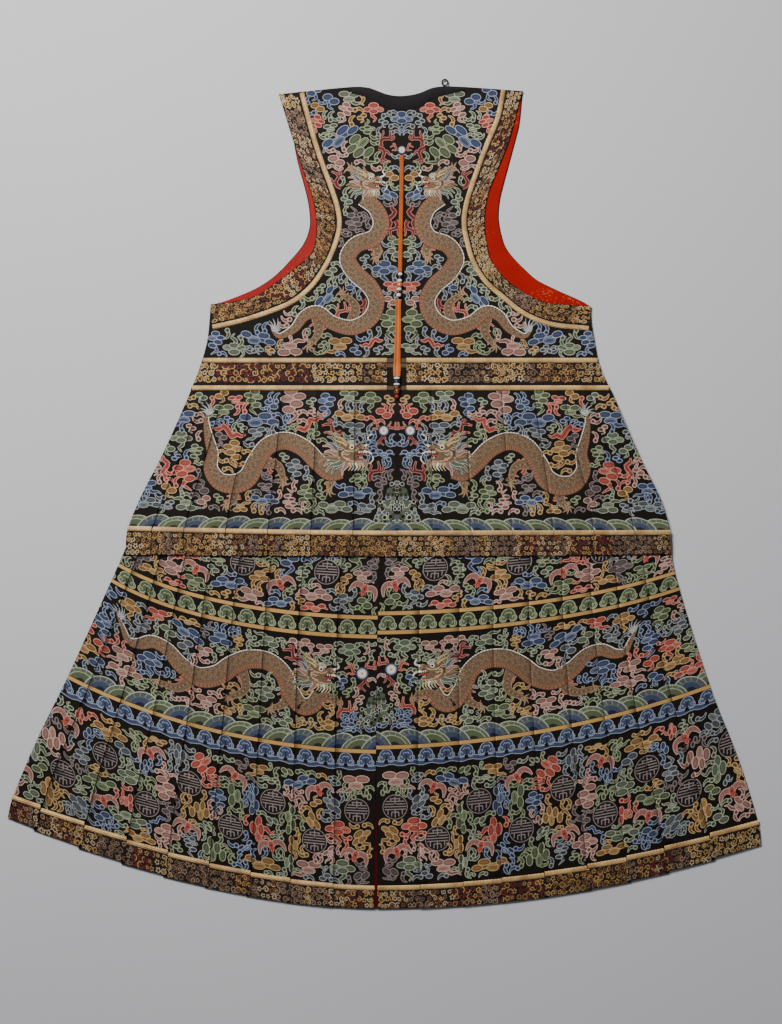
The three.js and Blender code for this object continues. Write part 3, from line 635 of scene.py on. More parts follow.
def dragon(design, spine, back, legs, head, end_turn):
  """spine is s, t and half width from neck to tail; back is the side of the white crest.

  Each leg has its share of the length, where its foot lies, the way it bends and the foot's turn.
  """
  line = smooth(spine, 4.2)
  path, half = line[:, :2], line[:, 2]
  out = normals(path) * back
  steps = distances(path)
  length = steps[-1]

  def along(distance, across):
    """A place on the body: across is -1 at the belly and 1 at the crest."""
    s = np.interp(distance, steps, path[:, 0])
    t = np.interp(distance, steps, path[:, 1])
    n = [np.interp(distance, steps, out[:, k]) for k in (0, 1)]
    w = np.interp(distance, steps, half)
    return pair(s + n[0] * w * across, t + n[1] * w * across)

  for share, s, t, bend, turn in legs:
    root, foot = along(share * length, 0), np.array([s, t], float)
    way = foot - root
    knee = root + way * 0.55 + left_of(way) * bend
    leg = smooth([root, knee, foot], 4)
    flame(Stamp(design, *(knee * 0.7 + root * 0.3), 0.8, turn + 130), "coral")
    flame(Stamp(design, *(knee * 0.4 + foot * 0.6), 0.6, turn + 60), "ochre")
    thick = np.interp(np.linspace(0, 1, len(leg)), [0, 0.5, 1], [9.0, 6.5, 2.8])
    for grow, thread in ((1.0, "dragon_pale"), (0, "dragon")):
      design.stroke(leg, thick + grow, thread)
    for k in range(1, len(leg) - 1):
      design.disc(*leg[k], 1.4, "dragon_pale" if k % 2 else "dragon_deep", 6)
    claw(Stamp(design, *foot, 1.05, turn))
    design.take(leg, 8)
  design.stroke(path, half + 1.0, "dragon_deep")
  design.stroke(path, half, "dragon")
  design.stroke(along(steps, -0.76), np.maximum(half * 0.22, 0.4), "belly")
  for d in np.arange(4, length - 6, 5.0):
    design.stroke([along(d, -0.6), along(d, -0.97)], 0.5, "dragon_deep")
  scales(design, along, steps, half)
  crest = np.arange(0, length - 3, 1.9)
  design.stroke(along(crest, 1.02), 1.4, "dragon_deep")
  design.stroke(along(crest, 1.06), np.where(np.arange(len(crest)) % 2, 1.15, 0.35), "white")
  design.take(path, half + 2.0)
  tuft(Stamp(design, *path[-1], 1.0, end_turn))
  dragon_head(head)


# ---- clouds in the spaces that are left ----
# The share that each dye has among the clouds.
FILL_DYES = {"sage": 1.3, "pink": 1.3, "blue": 1.2, "leaf": 1.2, "ochre": 1.0, "slate": 0.8, "lilac": 0.5,
             "coral": 0.5}
CELL = 2.5  # how finely the free room is measured
SMALLEST_ROOM = 4.6
# The kinds of cloud that fill a zone, and the turns that they may have.
FLAT_CLOUDS = ("tower", "pair", "head", "drift", "small", "pair"), (0, 0, 0, 8, -8, 180)
CURLED_CLOUDS = ("tower", "head", "drift", "wave", "pair", "small"), (0, 40, -40, 90, -90, 180)


def fill_with_clouds(design, inside, box, seed, clouds=FLAT_CLOUDS, sizes=(1.15, 1.0, 0.86, 0.72)):
  """Sets clouds of mixed dyes into every space. inside(s, t) is the depth within the zone."""
  rnd = random.Random(seed)
  kinds, turns = clouds
  s0, s1, t0, t1 = box
  s, t = np.meshgrid(np.arange(s0, s1, CELL), np.arange(t0, t1, CELL), indexing="ij")
  free = inside(s, t)
  for x, y, r in design.taken:
    free = np.minimum(free, np.hypot(s - x, t - y) - r)
  placed = []

  def room(points):
    i = np.clip(((points[:, 0] - s0) / CELL + 0.5).astype(int), 0, s.shape[0] - 1)
    j = np.clip(((points[:, 1] - t0) / CELL + 0.5).astype(int), 0, s.shape[1] - 1)
    out = (points[:, 0] < s0) | (points[:, 0] > s1) | (points[:, 1] < t0) | (points[:, 1] > t1)
    return np.where(out, -9.0, free[i, j])

  for _ in range(900):
    k = int(free.argmax())
    i, j = np.unravel_index(k, free.shape)
    widest = free[i, j]
    if widest < SMALLEST_ROOM:
      break
    best = None
    for _ in range(60):
      kind = rnd.choice(kinds)
      size, turn, flip = rnd.choice(sizes), rnd.choice(turns), rnd.random() < 0.5
      cover = cloud_room(kind)
      stamp = Stamp(design, 0, 0, size, turn, flip)
      shift = np.array([s[i, j], t[i, j]]) - stamp.at(rnd.choice(cover)[:2])[0]
      if (room(stamp.at(cover[:, :2]) + shift) - cover[:, 2] * size < 0.8).any():
        continue
      weight = (cover[:, 2] ** 2).sum() * size * size
      if best is None or weight > best[0]:
        best = weight, kind, size, turn, flip, shift
    if best is None:
      size = min((widest - 0.4) / 5.2, 1.1)
      best = 0, "curl", size, rnd.choice((0, 90, 180, 270)), False, np.array([s[i, j], t[i, j]])
    _, kind, size, turn, flip, (x, y) = best
    near = [d for a, b, d in placed if math.hypot(a - x, b - y) < 66]
    dye = min(FILL_DYES, key=lambda d: (near.count(d) + rnd.random()) / FILL_DYES[d])
    if kind == "curl" and placed:
      dye = min(placed, key=lambda p: math.hypot(p[0] - x, p[1] - y))[2]
    else:
      placed.append((x, y, dye))
    start = len(design.taken)
    cloud(Stamp(design, x, y, size, turn, flip), dye, kind)
    for x, y, r in design.taken[start:]:
      free = np.minimum(free, np.hypot(s - x, t - y) - r)


# ---- the three woven designs ----
def bodice_design():
  d = Design()
  set_clouds(
      d,
      (47, 38, "head", "coral", 0.9), (87, 17, "pair", "sage"), (95, 42, "tower", "pink", 1.05, 20),
      (146, 8, "small", "blue", 1.1), (141, 34, "small", "ochre"),
      (143, 62, "tower", "coral", 0.75, 20), (104, 84, "drift", "blue", 1.35, -38),
      (66, 106, "tower", "leaf", 1.3, -40), (17, 149, "small", "ochre"),
      (24, 180, "pair", "blue", 0.9, 30), (17, 214, "wave", "wine", 1.0, 70),
      (13, 256, "small", "leaf", 0.95), (13, 277, "small", "sage"), (29, 305, "head", "blue", 1.15),
      (15, 333, "pair", "coral", 0.85), (19, 357, "small", "pink"), (20, 396, "tower", "leaf", 1.15),
      (14, 436, "pair", "sage", 0.8), (50, 425, "wave", "coral", 0.95, 10),
      (104, 430, "pair", "ochre", 1.15), (82, 332, "small", "blue"),
      (127, 352, "drift", "blue", 1.1, -50), (118, 308, "small", "sage", 0.9), (0, 54, "head", "blue"),
      (20, 50, "small", "blue", 0.9),
  )
  for s, t, turn, dye in ((26, 84, 40, "wine"), (30, 112, 150, "wine"), (14, 236, 200, "wine"),
                          (108, 152, -20, "wine"), (100, 372, 30, "coral"), (70, 366, -150, "wine")):
    flame(Stamp(d, s, t, 0.9, turn), dye)
  for s, t in ((176, 440), (196, 434), (216, 440)):
    foam(Stamp(d, s, t, 0.9), s)
  pearl(Stamp(d, 0, 103, 0.85))
  dragon(
      d,
      [(66, 184, 11), (44, 200, 12), (34, 226, 13), (46, 250, 13), (76, 262, 13), (90, 284, 13),
       (78, 308, 13.5), (54, 330, 13), (42, 356, 12.5), (52, 384, 12.5), (82, 400, 12), (116, 392, 11),
       (140, 374, 10), (162, 380, 8.5), (180, 402, 6.5), (204, 414, 4), (216, 404, 2)],
      -1,
      ((0.04, 88, 135, -0.3, 20), (0.2, 42, 284, 0.2, 170),
       (0.66, 102, 342, -0.3, 20), (0.8, 155, 430, 0.2, 150)),
      Stamp(d, 56, 160, 1.0, 0),
      24,
  )
  edge = ARMHOLE_PIPING["right"].line(60)[0]

  def inside(s, t):
    near = np.full(s.shape, 99.0)
    for down, half in edge:
      near = np.minimum(near, np.hypot(s - half, t - down))
    within = s < np.interp(t, edge[:, 0], edge[:, 1])
    near = np.where(within | (t > 399), near, -near)
    top = 34 - 28 * smoothstep(s, 40, 75)
    return np.minimum.reduce([near - 4, s - 3.5, 448 - t, t - top, 325 - s])

  fill_with_clouds(d, inside, (0, 330, -5, 452), 11, sizes=(1.2, 1.0, 0.85, 0.7))
  d.stroke([(-1, UPPER_PIPING), (26, UPPER_PIPING)], 3.4, "dun")
  return d


def zone(shape, top, foot, centre=2.5, over=6):
  """The depth within a panel from top to foot, off its centre line and over its side seam."""
  return lambda s, t: np.minimum.reduce([s - centre, t - top, foot - t, shape.at("right", t) + over - s])


def tier_design():
  d = Design()
  wave_border(d, 741, 24, 34, 470)
  rock(Stamp(d, 6, 706, 1.15))
  pearl(Stamp(d, 22, 572, 1.1, 20))
  for k in range(8):
    foam(Stamp(d, 52 + 56 * k + 9 * (k % 2), 702, 0.9), k)
  for s, t, turn, dye in ((108, 568, -60, "wine"), (36, 640, 30, "wine")):
    flame(Stamp(d, s, t, 1.0, turn), dye)
  dragon(
      d,
      [(92, 640, 12), (112, 642, 13.5), (134, 624, 14), (156, 602, 14), (186, 590, 14), (216, 600, 14),
       (236, 628, 14.5), (248, 652, 15.5), (270, 664, 15.5), (296, 660, 14), (311, 638, 11.5),
       (308, 612, 9), (314, 586, 7), (318, 560, 4), (316, 546, 2)],
      -1,
      ((0.06, 52, 630, 0.3, -60), (0.14, 112, 672, 0.25, 165),
       (0.47, 188, 662, 0.3, -130), (0.62, 284, 700, 0.2, 175)),
      Stamp(d, 80, 612, 1.3, 0),
      -8,
  )
  set_clouds(
      d,
      (327, 517, "small", "sage"), (292, 514, "small", "ochre"), (290, 540, "pair", "leaf", 0.95),
      (240, 524, "tower", "leaf", 0.95), (232, 556, "drift", "blue", 1.35),
      (173, 530, "tower", "pink", 1.3), (117, 530, "tower", "blue", 0.9),
      (79, 516, "pair", "sage", 0.9), (44, 522, "head", "leaf", 0.95),
      (80, 548, "drift", "ochre", 1.05), (281, 575, "wave", "coral", 1.5, -10),
      (148, 562, "wave", "coral", 1.2, 180), (220, 618, "pair", "coral"),
      (188, 640, "small", "coral", 0.9), (282, 628, "pair", "pink", 0.95), (360, 590, "head", "sage"),
      (387, 640, "wave", "coral", 1.1, 60), (381, 676, "small", "ochre", 1.1),
      (222, 690, "drift", "blue", 0.95), (151, 684, "tower", "leaf", 0.9),
      (104, 690, "pair", "pink", 1.05), (48, 672, "tower", "coral"), (24, 606, "tower", "ochre", 0.9),
      (322, 694, "small", "pink"), (420, 700, "drift", "slate"),
  )
  fill_with_clouds(d, zone(TIER, 510, 714), (0, 470, 508, 716), 21)
  return d


ROUNDEL_PITCH = 70.2
SMALL_FIGURE = 42
BROCADE_PITCH, FIGURE_WIDTH = 9.6, 13.4


def skirt_design():
  d = Design()
  end = 660
  # The strip of roundels above the green border.
  for k in range(4):
    shou(Stamp(d, 90 + 2 * ROUNDEL_PITCH * k, 811, 1.0))
    bat(Stamp(d, 25 + 2 * ROUNDEL_PITCH * k, 838, 1.0, -25 if k % 2 else 20))
  # Dragons over the sea.
  rock(Stamp(d, 4, 1052, 1.05))
  pearl(Stamp(d, 24, 978, 1.3, 0))
  for k in range(9):
    foam(Stamp(d, 46 + 58 * k + 8 * (k % 2), 1070, 0.9), 20 + k)
  for s, t, turn, dye in ((140, 954, -60, "wine"), (52, 1040, 40, "coral")):
    flame(Stamp(d, s, t, 1.0, turn), dye)
  dragon(
      d,
      [(94, 1018, 12), (106, 1036, 13), (126, 1040, 14), (144, 1018, 14.5), (156, 990, 14.5),
       (180, 973, 15), (212, 974, 15), (240, 990, 15), (264, 1012, 15.5), (296, 1024, 16),
       (326, 1012, 14.5), (350, 992, 12), (374, 988, 10), (396, 1000, 8), (414, 1002, 6),
       (424, 984, 4), (432, 968, 2)],
      -1,
      ((0.05, 62, 1030, 0.3, -70), (0.2, 176, 1052, 0.25, 160),
       (0.42, 246, 1048, 0.3, -140), (0.62, 366, 1052, 0.2, 170)),
      Stamp(d, 98, 986, 1.25, 4),
      14,
  )
  set_clouds(
      d,
      (46, 944, "head", "sage"), (88, 942, "pair", "pink", 1.1), (130, 944, "tower", "leaf", 0.8),
      (176, 944, "drift", "blue"), (232, 948, "tower", "ochre", 0.8),
      (318, 952, "drift", "blue", 1.2, 20), (366, 940, "pair", "coral"), (412, 946, "head", "ochre"),
      (458, 1000, "tower", "blue"), (424, 1032, "pair", "pink", 1.1), (58, 996, "small", "blue", 0.9),
      (490, 1018, "head", "coral"), (212, 1010, "pair", "coral"), (290, 962, "wave", "coral", 1.2, 20),
      (150, 1072, "small", "sage"), (474, 960, "tower", "leaf"), (232, 1062, "drift", "leaf", 0.9),
      (320, 1062, "pair", "ochre"),
  )
  fill_with_clouds(d, zone(SKIRT, 923, 1080), (0, 560, 922, 1082), 31)
  wave_border(d, 1106, 29, 33, 560)
  # Roundels and bats by turns, high and low, below the blue border.
  for k in range(10):
    s = 31 + ROUNDEL_PITCH * k
    high = k % 2 == 0
    shou(Stamp(d, s, 1208 if high else 1264, 1.0))
    bat(Stamp(d, s + (2 if high else -6), 1283 if high else 1178, 0.98, (18, -22, -15, 30)[k % 4]))
  set_clouds(
      d,
      (34, 1164, "pair", "pink", 1.3), (80, 1160, "tower", "leaf", 0.95, -60),
      (128, 1170, "drift", "blue", 1.1, -20), (160, 1214, "tower", "pink", 1.05),
      (236, 1172, "tower", "sage", 1.25), (196, 1160, "pair", "ochre", 0.9),
      (264, 1226, "tower", "blue", 0.9), (58, 1222, "tower", "blue", 1.0, 10),
      (108, 1232, "pair", "ochre", 1.1, 60), (54, 1308, "head", "sage", 1.15),
      (112, 1312, "pair", "pink", 1.2), (168, 1284, "head", "leaf"), (190, 1316, "drift", "ochre", 1.2),
      (236, 1296, "head", "blue", 1.3), (300, 1290, "tower", "pink", 1.2),
  )
  fill_with_clouds(d, zone(SKIRT, 1143, 1333, 3, 8), (0, 655, 1140, 1336), 41, CURLED_CLOUDS)
  fill_with_clouds(d, zone(SKIRT, 740, 880), (0, 500, 744, 884), 51)
  for t, half in ((900, 15), (1125, 17)):
    d.stroke([(-4, t), (end, t)], half, "black")
  ruyi_row(d, "leaf", 902, 33.5, end, False, 1.22)
  ruyi_row(d, "blue", 1124, 33.5, end, True, 1.15)
  for t in (884, 916, 1108):
    gold_line(d, t, end)
  return d


GOLDS = (("gold", "straw"), ("bronze", "rose_gold"), ("wine", "gold"), ("straw", "gold_deep"),
         ("gold_deep", "gold"))


def brocade_design(length, width, seed):
  """Gold figures close together on a dark ground: coins, scrolls, frets and sprigs."""
  d = Design()
  rnd = random.Random(seed)
  rows = max(2, round(width / BROCADE_PITCH))
  pitch = width / rows
  dyes = ("gold", "straw")
  for k in range(int(length / pitch) + 1):
    if rnd.random() < 0.3:
      dyes = rnd.choice(GOLDS)
    for r in range(rows):
      s = (k + 0.5 + 0.35 * (r % 2)) * pitch + rnd.uniform(-1.6, 1.6)
      t = (r + 0.5) * pitch + rnd.uniform(-1, 1)
      dye, light = dyes if rnd.random() < 0.7 else dyes[::-1]
      size = pitch / FIGURE_WIDTH * rnd.uniform(0.85, 1.2)
      stamp = Stamp(d, s, t, size, rnd.uniform(0, 360), rnd.random() < 0.5)
      kind = rnd.random()
      if kind < 0.12:
        stamp.disc(0, 0, 5.8, light, 9)
        stamp.disc(0, 0, 4.2, "umber", 8)
        stamp.disc(0, 0, 3.2, dye, 7)
        stamp.shape([(-1.2, -1.2), (1.2, -1.2), (1.2, 1.2), (-1.2, 1.2)], "umber")
      elif kind < 0.62:
        scroll = [(-6.5, -2.5), (-4.5, 3), (1, 3.8), (3.2, -0.6), (-0.8, -2.8), (-1.8, 0.6)]
        stamp.stroke(smooth(scroll, 2.2), 1.15, dye)
        stamp.stroke(smooth([(3.4, 5.6), (6.6, 1), (4.4, -4.6), (0, -6)], 2.6), 1.05, light)
      elif kind < 0.76:
        fret = ((-5, -5), (5, -5), (5, 4), (-2.5, 4), (-2.5, -1.5), (2, -1.5))
        for a, b in zip(fret, fret[1:]):
          stamp.stroke([a, b], 1.1, dye)
      else:
        for turn in (0, 72, 144, 216, 288):
          stamp.disc(*polar(turn, 3.9), 2.1, light, 6)
        stamp.disc(0, 0, 1.7, "umber", 6)
      if rnd.random() < 0.5:
        stamp.disc(rnd.uniform(-7, 7), 7, 1.3, light, 5)
  return d


def without_small(design):
  """The same design in its larger figures, for the face that lies on the table."""
  plain = Design()
  plain.figures = [(p, thread) for p, thread in design.figures if abs(area_of(p)) > SMALL_FIGURE]
  return plain


# ---- cutting and sewing ----
FINE, COARSE = 0.11, 0.6  # how far an outline may be straightened
LONGEST_EDGE = 14.0
MELT = 1e-4  # places closer than this are one


def weave(cells, design=None, net=(), ground="black", plain=FINE):
  """Cuts a panel along its threads. Gives flat places, triangles, and each one's cell and thread."""
  figures = design.figures if design else []
  polygons = [turned(c) for c in cells] + [p for p, _ in figures]
  points, faces = [], []
  for polygon in polygons:
    faces.append(list(range(len(points), len(points) + len(polygon))))
    points += [Vector(p) for p in polygon]
  points += [Vector(p) for p in net]
  flat, _, triangles, _, _, covers = delaunay_2d_cdt(points, [], faces, 1, MELT, True)
  first = len(cells)
  kept, labels = [], []
  for corners, cover in zip(triangles, covers):
    low, high = min(cover, default=first), max(cover, default=first)
    if low < first:
      kept.append(corners)
      labels.append(low * 100 + (figures[high - first][1] if high >= first else NUMBER[ground]))
  flat = np.array([tuple(p) for p in flat])
  flat, kept, labels = plainer(flat, np.array(kept), np.array(labels), cells, net, plain)
  return flat, kept, labels // 100, labels % 100


def edges_of(triangles):
  return np.vstack([triangles[:, [0, 1]], triangles[:, [1, 2]], triangles[:, [2, 0]]])


def plainer(flat, triangles, labels, cells, net, plain):
  """The same patches of thread with no lines or places but those on their own edges."""
  size = len(flat)
  ways = edges_of(triangles)
  tags = np.tile(labels, 3)
  left = dict(zip((ways[:, 0] * size + ways[:, 1]).tolist(), tags.tolist()))
  beside = {}
  for (a, b), tag in zip(ways.tolist(), tags.tolist()):
    if left.get(b * size + a, -1) != tag:
      beside.setdefault(a, {})[b] = tag
      beside.setdefault(b, {}).setdefault(a, -1)
  fixed = {tuple(np.round(p, 3)) for cell in cells for p in cell}
  place_of = flat.tolist()
  for v in list(beside):
    if len(beside[v]) != 2:
      continue
    a, b = beside[v]
    (ax, ay), (vx, vy), (bx, by) = place_of[a], place_of[v], place_of[b]
    span = math.hypot(bx - ax, by - ay)
    if span > LONGEST_EDGE or b in beside[a] or (round(vx, 3), round(vy, 3)) in fixed:
      continue
    if abs((bx - ax) * (vy - ay) - (by - ay) * (vx - ax)) > plain * span:
      continue
    beside[a][b], beside[b][a] = beside[a].pop(v), beside[b].pop(v)
    del beside[v]
  order = {v: k for k, v in enumerate(beside)}
  edges, tags = [], []
  for a, ends in beside.items():
    for b, tag in ends.items():
      if a < b:
        edges.append((order[a], order[b]))
        tags.append((tag, beside[b][a]))
  points = [Vector(place_of[v]) for v in beside] + [Vector(p) for p in net]
  places, lines, new, _, first_lines, _ = delaunay_2d_cdt(points, edges, [], 1, 1e-5, True)
  places = np.array([tuple(p) for p in places])
  known = {}
  for (a, b), origin in zip(lines, first_lines):
    if origin:
      p, q = edges[origin[0]]
      along = (points[q] - points[p]).dot(Vector(places[b] - places[a])) > 0
      known[a, b], known[b, a] = tags[origin[0]] if along else tags[origin[0]][::-1]
  return places, *spread(new, known)


def spread(triangles, known):
  """Each triangle's label, from the edges whose labels are known to the ones within."""
  owner = {}
  for k, (a, b, c) in enumerate(triangles):
    owner[a, b] = owner[b, c] = owner[c, a] = k
  labels = [None] * len(triangles)
  ready = []
  for k, (a, b, c) in enumerate(triangles):
    for way in ((a, b), (b, c), (c, a)):
      if way in known:
        labels[k] = known[way]
        ready.append(k)
        break
  while ready:
    k = ready.pop()
    a, b, c = triangles[k]
    for p, q in ((a, b), (b, c), (c, a)):
      other = owner.get((q, p))
      if other is not None and labels[other] is None and (p, q) not in known:
        labels[other] = labels[k]
        ready.append(other)
  kept = [k for k, label in enumerate(labels) if label is not None and label >= 0]
  return np.array([triangles[k] for k in kept]), np.array([labels[k] for k in kept])


def grid(s_steps, t_steps):
  """A plain panel's flat places and triangles."""
  s, t = np.meshgrid(s_steps, t_steps, indexing="ij")
  n = len(t_steps)
  i, j = np.meshgrid(np.arange(len(s_steps) - 1), np.arange(n - 1), indexing="ij")
  a = (i * n + j).ravel()
  return (pair(s.ravel(), t.ravel()),
          np.vstack([np.stack([a, a + n, a + n + 1], axis=1), np.stack([a, a + n + 1, a + 1], axis=1)]))


def loops_of(triangles):
  """The panel's edges as rings of places, each in the direction of its triangles."""
  held = set(map(tuple, edges_of(triangles)))
  after = {}
  for a, b in held:
    if (b, a) not in held:
      after.setdefault(a, []).append(b)
  loops = []
  while after:
    start = next(iter(after))
    loop, here = [start], start
    while True:
      step = after[here].pop()
      if not after[here]:
        del after[here]
      if step == start or step not in after:
        break
      loop.append(step)
      here = step
    if len(loop) > 2:
      loops.append(loop)
  return loops


def fill(outline):
  """Triangles over an outline, by the places of its own corners."""
  corners = [Vector(p) for p in outline]
  around = list(range(len(corners)))
  order = around if turned(outline) is outline else around[::-1]
  _, _, triangles, first, _, covers = delaunay_2d_cdt(corners, [], [order], 1, 1e-7, True)
  return np.array([[first[v][0] for v in t] for t, cover in zip(triangles, covers) if cover])


CUT_ROLL, FOLD_ROLL = 0.12, 0.8  # how far a cut edge and a fold round out
SOFT_ROLL = 0.3  # an edge that rounds out less is drawn crisp


class Sewing:
  """Gathers the cloth of one piece, every part a closed thin shell, and makes its mesh."""

  def __init__(self):
    self.points, self.faces, self.threads, self.flat, self.wear, self.sharp = [], [], [], [], [], []
    self.count = 0

  def shell(self, flat, triangles, thread, face, back, roll=None, wear=None, up=1):
    """face and back give the places of the cloth's two sides; roll is how far its edge rounds out."""
    used, triangles = np.unique(triangles, return_inverse=True)
    triangles = triangles.reshape(-1, 3)
    flat = flat[used]
    front = face(flat[:, 0], flat[:, 1])
    a, b, c = (front[triangles[:, k]] for k in range(3))
    if np.cross(b - a, c - a)[:, 2].sum() * up < 0:
      triangles = triangles[:, ::-1]
    thread = np.broadcast_to(thread, len(triangles))
    owner = {}
    for k, (p, q, r) in enumerate(triangles.tolist()):
      owner[p, q] = owner[q, r] = owner[r, p] = k
    behind = back(flat[:, 0], flat[:, 1])
    rolls = roll(flat[:, 0], flat[:, 1]) if roll else np.full(len(flat), CUT_ROLL)
    points, faces, threads = [front], [triangles], [thread]
    flats = [flat]
    n = len(front)
    for loop in loops_of(triangles):
      ring = np.array(loop)
      m = len(ring)
      way = np.roll(front[ring], -1, axis=0) - np.roll(front[ring], 1, axis=0)
      out = np.stack([way[:, 1], -way[:, 0], np.zeros(m)], axis=1) * up
      out /= np.maximum(np.linalg.norm(out, axis=1), 1e-12)[:, None]
      middle = (front[ring] + behind[ring]) / 2 + out * (rolls[ring] * MM)[:, None]
      points += [middle, behind[ring]]
      flats += [flat[ring], flat[ring]]
      k = np.arange(m)
      after = (k + 1) % m
      mid, low = n + k, n + m + k
      colour = np.array([thread[owner[a, b]] for a, b in zip(loop, loop[1:] + loop[:1])])
      for p, q, r, s in ((ring[after], ring[k], mid, mid[after]), (mid[after], mid, low, low[after])):
        faces.append(np.vstack([np.stack([p, q, r], axis=1), np.stack([p, r, s], axis=1)]))
        threads.append(np.concatenate([colour, colour]))
      filled = fill(flat[ring])
      bottom = low[filled]
      corner = behind[ring][filled]
      turn = np.cross(corner[:, 1] - corner[:, 0], corner[:, 2] - corner[:, 0])[:, 2] * up > 0
      bottom[turn] = bottom[turn][:, ::-1]
      faces.append(bottom)
      threads.append(np.full(len(bottom), NUMBER["black"]))
      crisp = rolls[ring] < SOFT_ROLL
      both = crisp & crisp[after]
      self.sharp += [pair(edge[both], edge[after][both]) + self.count for edge in (ring, low)]
      n += 2 * m
    flats = np.vstack(flats)
    self.points.append(np.vstack(points))
    self.faces.append(np.vstack(faces) + self.count)
    self.threads.append(np.concatenate(threads))
    self.flat.append(flats)
    self.wear.append(wear(flats[:, 0], flats[:, 1]) if wear else np.zeros(len(flats)))
    self.count += n

  def make(self, name, finish):
    faces = np.vstack(self.faces)
    mesh = mesh_of(name, np.vstack(self.points), faces)
    colour = mesh.color_attributes.new("Threads", "FLOAT_COLOR", "CORNER")
    colour.data.foreach_set("color", np.repeat(DYES[np.concatenate(self.threads)], 3, axis=0).ravel())
    map_cloth(mesh, np.vstack(self.flat)[faces.ravel()] * MM)
    # Edge wear above nothing, painted shade at pleat feet and tucks below nothing.
    wear = mesh.attributes.new("WearAndPaintedShade", "FLOAT", "POINT")
    wear.data.foreach_set("value", np.concatenate(self.wear).astype(np.float32))
    edges = np.zeros(len(mesh.edges) * 2, np.int32)
    mesh.edges.foreach_get("vertices", edges)
    edges = np.sort(edges.reshape(-1, 2), axis=1).astype(np.int64)
    sharp = np.sort(np.vstack(self.sharp).astype(np.int64), axis=1)
    flags = np.isin(edges @ (self.count, 1), sharp @ (self.count, 1))
    mesh.attributes.new("sharp_edge", "BOOLEAN", "EDGE").data.foreach_set("value", flags)
    close_pin_holes(mesh, faces)
    return finished(name, mesh, finish, name)


def close_pin_holes(mesh, faces):
  """Closes the pin holes that the finest corners of a weave can leave, and turns its faces outwards."""
  a, b = faces.astype(np.int64).ravel(), np.roll(faces, -1, axis=1).astype(np.int64).ravel()
  size = len(mesh.vertices)
  one_way = np.unique(a * size + b, return_counts=True)[1]
  both_ways = np.unique(np.minimum(a, b) * size + np.maximum(a, b), return_counts=True)[1]
  if (one_way == 1).all() and (both_ways == 2).all():
    return
  form = bmesh.new()
  form.from_mesh(mesh)
  for gap in (0, 2e-6, 2e-5, 1e-4):
    crowded = [e for e in form.edges if len(e.link_faces) > 2]
    spare = {min(e.link_faces, key=lambda f: f.calc_area()) for e in crowded}
    bmesh.ops.delete(form, geom=list(spare), context="FACES_ONLY")
    rim = [e for e in form.edges if e.is_boundary]
    if not rim:
      break
    if gap:
      bmesh.ops.remove_doubles(form, verts=list({v for e in rim for v in e.verts}), dist=gap)
    bmesh.ops.holes_fill(form, edges=[e for e in form.edges if e.is_boundary], sides=0)
  bmesh.ops.triangulate(form, faces=[f for f in form.faces if len(f.verts) > 3])
  bmesh.ops.recalc_face_normals(form, faces=form.faces)
  form.to_mesh(mesh)
  form.free()


def mesh_of(name, points, faces):
  mesh = bpy.data.meshes.new(name)
  mesh.vertices.add(len(points))
  mesh.vertices.foreach_set("co", np.asarray(points, np.float32).ravel())
  sizes = np.array([len(face) for face in faces], np.int32)
  mesh.loops.add(int(sizes.sum()))
  mesh.loops.foreach_set("vertex_index", np.concatenate(faces).astype(np.int32))
  mesh.polygons.add(len(sizes))
  mesh.polygons.foreach_set("loop_start", (np.cumsum(sizes) - sizes).astype(np.int32))
  mesh.polygons.foreach_set("use_smooth", np.ones(len(sizes), bool))
  mesh.update(calc_edges=True)
  return mesh


def map_cloth(mesh, flat):
  """The cloth map: where each corner of each face lies on the flat cloth, in metres."""
  mesh.uv_layers.new(name="Cloth").data.foreach_set("uv", np.asarray(flat, np.float32).ravel())


def stood(name, data):
  """A new object in the scene."""
  made = bpy.data.objects.new(name, data)
  bpy.context.scene.collection.objects.link(made)
  return made


def finished(name, mesh, finish, *nodes):
  piece = stood("dressed_" + name, mesh)
  mesh.materials.clear()
  mesh.materials.append(FINISH[finish])
  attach(piece, "root")
  if nodes:
    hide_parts(*nodes)
  return piece


def one_shell(name, finish, flat, triangles, thread, face, back, stretch=(1, 1), up=1):
  """A piece of one shell. stretch turns the places of its cloth map into millimetres."""
  sewing = Sewing()
  sewing.shell(flat, triangles, thread, face, back, up=up)
  sewing.flat = [f * stretch for f in sewing.flat]
  return sewing.make(name, finish)


# ---- how the pleated panels lie ----
RISER = 1.2
STRAIGHTEN = 0.2  # how much straighter than the panel's sweep a pleat's rows run at its hem
TURNED_EDGE = 2.5
TUCK, TUCK_CLOTH = 6.0, 0.75
TUCK_START = 560  # the pleats lie pressed flat above this


